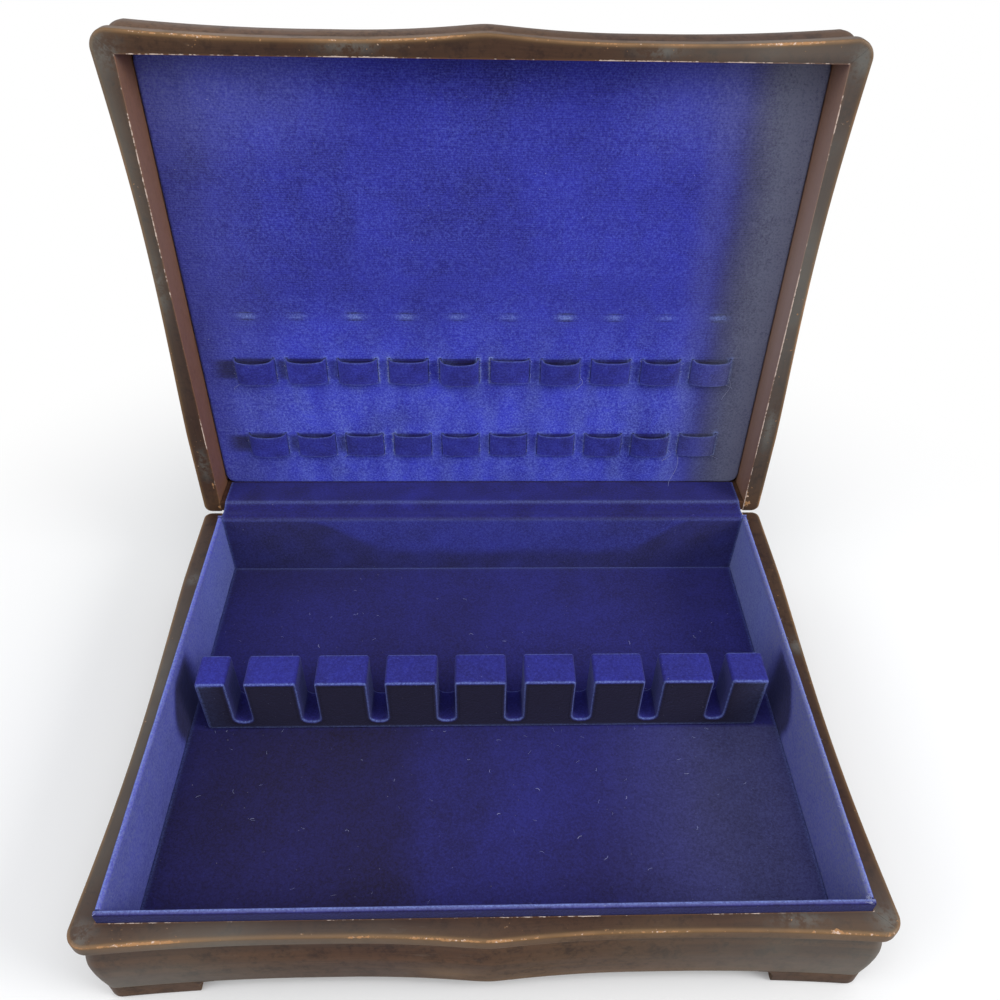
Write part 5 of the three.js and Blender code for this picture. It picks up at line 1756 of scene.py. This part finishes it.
class CHEST_OT_loose_threads(bpy.types.Operator):
    """Scatters frayed threads and lint, one mesh for each body"""

    bl_idname = "chest.loose_threads"
    bl_label = "Loose threads"

    # Long threads that have come away: the loop's number and side, length and lean in millimetres
    STRANDS = {
        "upper_loop_band": ((9, 1, 17, 2.2), (9, 1, 8, -4), (0, -1, 9, 3), (6, 1, 9, 2)),
        "lower_loop_band": ((9, -1, 34, 2.8), (9, 1, 8, -4), (8, 1, 10, 3), (2, -1, 7, 2)),
    }

    # How far above the lid's back wall a strand lies, which leaves room for the flap
    CLEAR_OF_FLAP = 1.6 * MM

    # Steps along a strand, and where the scatter's draws start
    STRAND_STEPS, SEED = 23, 7

    def execute(self, context):
        lining = context.scene.chest_lining
        tree = Threads().tree
        lid, strands = self.on_lid(lining)
        self.scatter(context, tree, "base_threads", self.on_base(), [], "base")
        self.scatter(context, tree, "lid_threads", lid, strands, "lid", OPEN)
        return {"FINISHED"}

    def on_base(self):
        """The base's patches: corner, sides in millimetres, threads per square metre, tilt."""
        pad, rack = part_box("floor_pad"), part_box("silver_rack")
        left, right, front = (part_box(f"liner_{side}") for side in ("left", "right", "front"))
        floor, crest = pad[1].z + 0.05 * MM, right[1].z - 0.2 * MM
        x = pad[0].x + 15 * MM
        wide = (pad[1].x - pad[0].x) / MM - 30
        ahead = (rack[0].y - pad[0].y) / MM - 18
        behind = (pad[1].y - rack[1].y) / MM - 14
        return (
            ((x, pad[0].y + 12 * MM, floor), wide, ahead, 1300, 0.1),
            ((x, rack[1].y + 4 * MM, floor), wide, behind, 900, 0.1),
            ((x, rack[0].y - 3 * MM, floor), wide, 2, 16000, 0.2),
            ((right[0].x - 2 * MM, front[0].y, crest), 4, 4, 1.2e6, 0.7),
            ((left[0].x, front[0].y, crest), 3, 3, 3e5, 0.5),
            ((right[0].x, right[1].y - 8 * MM, crest), 3, 7, 6e5, 0.6),
            ((right[0].x, front[1].y, crest), 3, 200, 3e4, 0.2),
        )

    def on_lid(self, lining):
        """The lid's patches beside the slits, as ragged as their lips, and its long strands."""
        panel = CHEST_OT_lid_panel
        patches, strands = [], []
        for node, ragged in zip(self.STRANDS, (panel.LIPS_UPPER, panel.LIPS_LOWER)):
            row = LoopRow(node, lining)
            y, z = row.centre + row.half_width, row.face - 0.15 * MM
            for middle, sides in zip(row.middles, ragged):
                for side, amount in zip((-1, 1), sides):
                    x = middle + side * (row.leg + row.slit + 0.2 * MM) - 0.3 * MM
                    patches.append(((x, y, z), 0.6, -2 * row.half_width / MM, amount * 2.2e6, 0.5))
            strands += self.hanging(row, self.STRANDS[node])
        return patches, strands

    def hanging(self, row, threads):
        """Threads that hang from a row's slits, as far as the flap and then along it."""
        flap = closed_box("lid_back")[0][1] - self.CLEAR_OF_FLAP
        share = np.linspace(0, 1, self.STRAND_STEPS + 1)
        strands = []
        for number, side, drop, lean in threads:
            x = row.middles[number] + side * (row.leg + 1.2 * MM)
            x = x + lean * MM * np.sin(1.4 * math.pi * share)
            y = row.centre + row.half_width * 0.6 + drop * MM * share
            z = row.face - 0.4 * MM - np.clip(y - flap, 0, None)
            strands.append(np.stack([x, np.minimum(y, flap), z], 1))
        return strands

    def scatter(self, context, tree, name, patches, strands, body, turn=None):
        """Grows one body's threads and keeps them as a mesh."""
        points, faces, edges, density, stand = [], [], [], [], []
        for corner, wide, deep, amount, tilt in patches:
            first = len(points)
            corner, across, along = np.array([corner, (wide * MM, 0, 0), (0, deep * MM, 0)])
            points += [corner, corner + across, corner + across + along, corner + along]
            faces.append(tuple(range(first, first + 4)))
            density += [amount] * 4
            stand += [tilt] * 4
        for strand in strands:
            first = len(points)
            points += list(strand)
            edges += [(first + i, first + i + 1) for i in range(len(strand) - 1)]
        for levels in (density, stand):
            levels += [0.0] * (len(points) - len(levels))
        mesh = bpy.data.meshes.new(name)
        mesh.from_pydata([tuple(p) for p in points], edges, faces)
        for mark, values in (("density", density), ("stand", stand)):
            mesh.attributes.new(mark, "FLOAT", "POINT").data.foreach_set("value", values)
        if turn is not None:
            mesh.transform(turn)
        patch = bpy.data.objects.new(name, mesh)
        context.scene.collection.objects.link(patch)
        nodes = patch.modifiers.new("threads", "NODES")
        nodes.node_group = tree
        sockets = {item.name: item.identifier for item in tree.interface.items_tree}
        nodes[sockets["Seed"]] = self.SEED
        nodes[sockets["Finish"]] = finish_named("loose_thread")
        context.view_layer.update()
        graph = context.evaluated_depsgraph_get()
        made = bpy.data.meshes.new_from_object(patch.evaluated_get(graph), depsgraph=graph)
        if not made.polygons:
            raise RuntimeError(f"{name}: no threads grew")
        patch.modifiers.clear()
        patch.data = made
        bpy.data.meshes.remove(mesh)
        made.name = name
        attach(patch, body)


class CHEST_OT_stage(bpy.types.Operator):
    """Sets the pale floor, the soft lamps and the camera"""

    bl_idname = "chest.stage"
    bl_label = "Stage"

    # The photograph's camera, found from the box's straight edges
    CAMERA_PLACE = (-0.00602, -0.357585, 0.4965)
    CAMERA_PITCH, CAMERA_YAW, CAMERA_ROLL = (math.radians(a) for a in (-42.96, 2.41, -1.5))
    LENS, SENSOR = 32.03, 36
    SHIFT = (-0.0035, 0.0353)
    CLIP_START = 0.01

    # The floor's half width, and the stretch from the chest's middle over which it turns white
    FLOOR_HALF = 6.0
    WHITE_FROM, WHITE_BY = 0.27, 0.56

    # Each lamp's place, size and power, and where all of them point
    LAMPS = {
        "overhead": ((0.0, -0.5, 1.6), 1.6, 8.6),
        "window": ((1.35, -0.55, 1.0), 0.8, 14),
        "left_fill": ((-1.2, -0.5, 0.9), 1.2, 6),
        "back_fill": ((-0.5, 1.5, 1.2), 1.4, 3.4),
    }
    LIT_PLACE = Vector((0, 0, 0.12))

    # The sky's light, and its white where the camera looks past the floor
    SKY_COLOUR, SKY_STRENGTH = (0.95, 0.97, 1), 0.6

    def execute(self, context):
        self.camera(context)
        self.floor(context)
        self.sky(context)
        for name, settings in self.LAMPS.items():
            self.lamp(context, name, *settings)
        context.scene.view_settings.view_transform = "Standard"
        return {"FINISHED"}

    def camera(self, context):
        """The camera, rolled about its own line of sight."""
        data = bpy.data.cameras.new("camera")
        camera = bpy.data.objects.new("camera", data)
        context.scene.collection.objects.link(camera)
        pitch, yaw, roll = self.CAMERA_PITCH, self.CAMERA_YAW, self.CAMERA_ROLL
        forward = Vector((
            math.sin(yaw) * math.cos(pitch), math.cos(yaw) * math.cos(pitch), math.sin(pitch),
        ))
        level = Vector((math.cos(yaw), -math.sin(yaw), 0))
        down = forward.cross(level)
        right = level * math.cos(roll) + down * math.sin(roll)
        lower = down * math.cos(roll) - level * math.sin(roll)
        turn = Matrix((right, -lower, -forward)).transposed()
        camera.matrix_world = Matrix.Translation(Vector(self.CAMERA_PLACE)) @ turn.to_4x4()
        data.lens = self.LENS
        data.sensor_width = self.SENSOR
        data.shift_x, data.shift_y = self.SHIFT
        data.clip_start = self.CLIP_START
        context.scene.camera = camera

    def floor(self, context):
        """One wide sheet of paper."""
        mesh = bpy.data.meshes.new("floor")
        half = self.FLOOR_HALF
        corners = [(-half, -half, 0), (half, -half, 0), (half, half, 0), (-half, half, 0)]
        mesh.from_pydata(corners, [], [(0, 1, 2, 3)])
        floor = bpy.data.objects.new("floor", mesh)
        context.scene.collection.objects.link(floor)
        mesh.materials.append(self.paper())

    def paper(self):
        """Pale paper that the camera sees turn white away from the chest."""
        colours = bpy.context.scene.chest_colours
        material = bpy.data.materials.new("floor_paper")
        paper = Finish(material)
        seen = paper.node("ShaderNodeLightPath", out="Is Camera Ray")
        lit = paper.node("ShaderNodeBsdfPrincipled", None, {
            "Base Color": paper.blend(seen, colours.shade, colours.floor),
            "Roughness": 0.9,
            "Specular IOR Level": 0.1,
        })
        white = paper.node("ShaderNodeEmission", None, {"Color": (1, 1, 1), "Strength": 1.0})
        away = paper.node("ShaderNodeVectorMath", {"operation": "LENGTH"}, {0: paper.places()}, 1)
        share = paper.step(away, self.WHITE_FROM, self.WHITE_BY) * seen
        both = paper.node("ShaderNodeMixShader", None, {0: share, 1: lit, 2: white})
        paper.node("ShaderNodeOutputMaterial", None, {"Surface": both})
        return material

    def sky(self, context):
        """An even sky that lights the chest softly and that the camera sees as white."""
        context.scene.world = bpy.data.worlds.new("studio")
        sky = Finish(context.scene.world)
        light, white = (
            sky.node("ShaderNodeBackground", None, {"Color": colour, "Strength": strength})
            for colour, strength in ((self.SKY_COLOUR, self.SKY_STRENGTH), ((1, 1, 1), 1.0))
        )
        seen = sky.node("ShaderNodeLightPath", out="Is Camera Ray")
        both = sky.node("ShaderNodeMixShader", None, {0: seen, 1: light, 2: white})
        sky.node("ShaderNodeOutputWorld", None, {"Surface": both})

    def lamp(self, context, name, place, size, power):
        """A round soft lamp that points at the chest."""
        data = bpy.data.lights.new(name, "AREA")
        data.shape = "DISK"
        data.size = size
        data.energy = power
        lamp = bpy.data.objects.new(name, data)
        context.scene.collection.objects.link(lamp)
        lamp.location = place
        aim = self.LIT_PLACE - Vector(place)
        lamp.rotation_euler = aim.to_track_quat("-Z", "Y").to_euler()


class CHEST_PT_sidebar(bpy.types.Panel):
    """Lists the chest's operators"""

    bl_idname = "CHEST_PT_sidebar"
    bl_label = "Silverware chest"
    bl_space_type = "VIEW_3D"
    bl_region_type = "UI"
    bl_category = "Chest"

    def draw(self, context):
        for operator in OPERATORS:
            self.layout.operator(operator.bl_idname)
        for name, group in GROUPS.items():
            column = self.layout.column()
            for size in group.__annotations__:
                column.prop(getattr(context.scene, name), size)


GROUPS = {
    "chest_case": CHEST_PG_case,
    "chest_lining": CHEST_PG_lining,
    "chest_colours": CHEST_PG_colours,
}
OPERATORS = (
    CHEST_OT_stage,
    CHEST_OT_base_boards,
    CHEST_OT_feet,
    CHEST_OT_lid_boards,
    CHEST_OT_liners,
    CHEST_OT_floor_pad,
    CHEST_OT_rack,
    CHEST_OT_lid_panel,
    CHEST_OT_loops,
    CHEST_OT_hinge_flap,
    CHEST_OT_hinges,
    CHEST_OT_loose_threads,
)


CLASSES = (*OPERATORS, CHEST_PT_sidebar)


def register():
    for name, group in GROUPS.items():
        bpy.utils.register_class(group)
        setattr(bpy.types.Scene, name, PointerProperty(type=group))
    for cls in CLASSES:
        bpy.utils.register_class(cls)


def unregister():
    for cls in reversed(CLASSES):
        bpy.utils.unregister_class(cls)
    for name, group in GROUPS.items():
        delattr(bpy.types.Scene, name)
        bpy.utils.unregister_class(group)


def main():
    register()
    for operator in OPERATORS:
        call = operator.bl_idname.split(".")[1]
        getattr(bpy.ops.chest, call)()


if __name__ == "__main__":
    main()
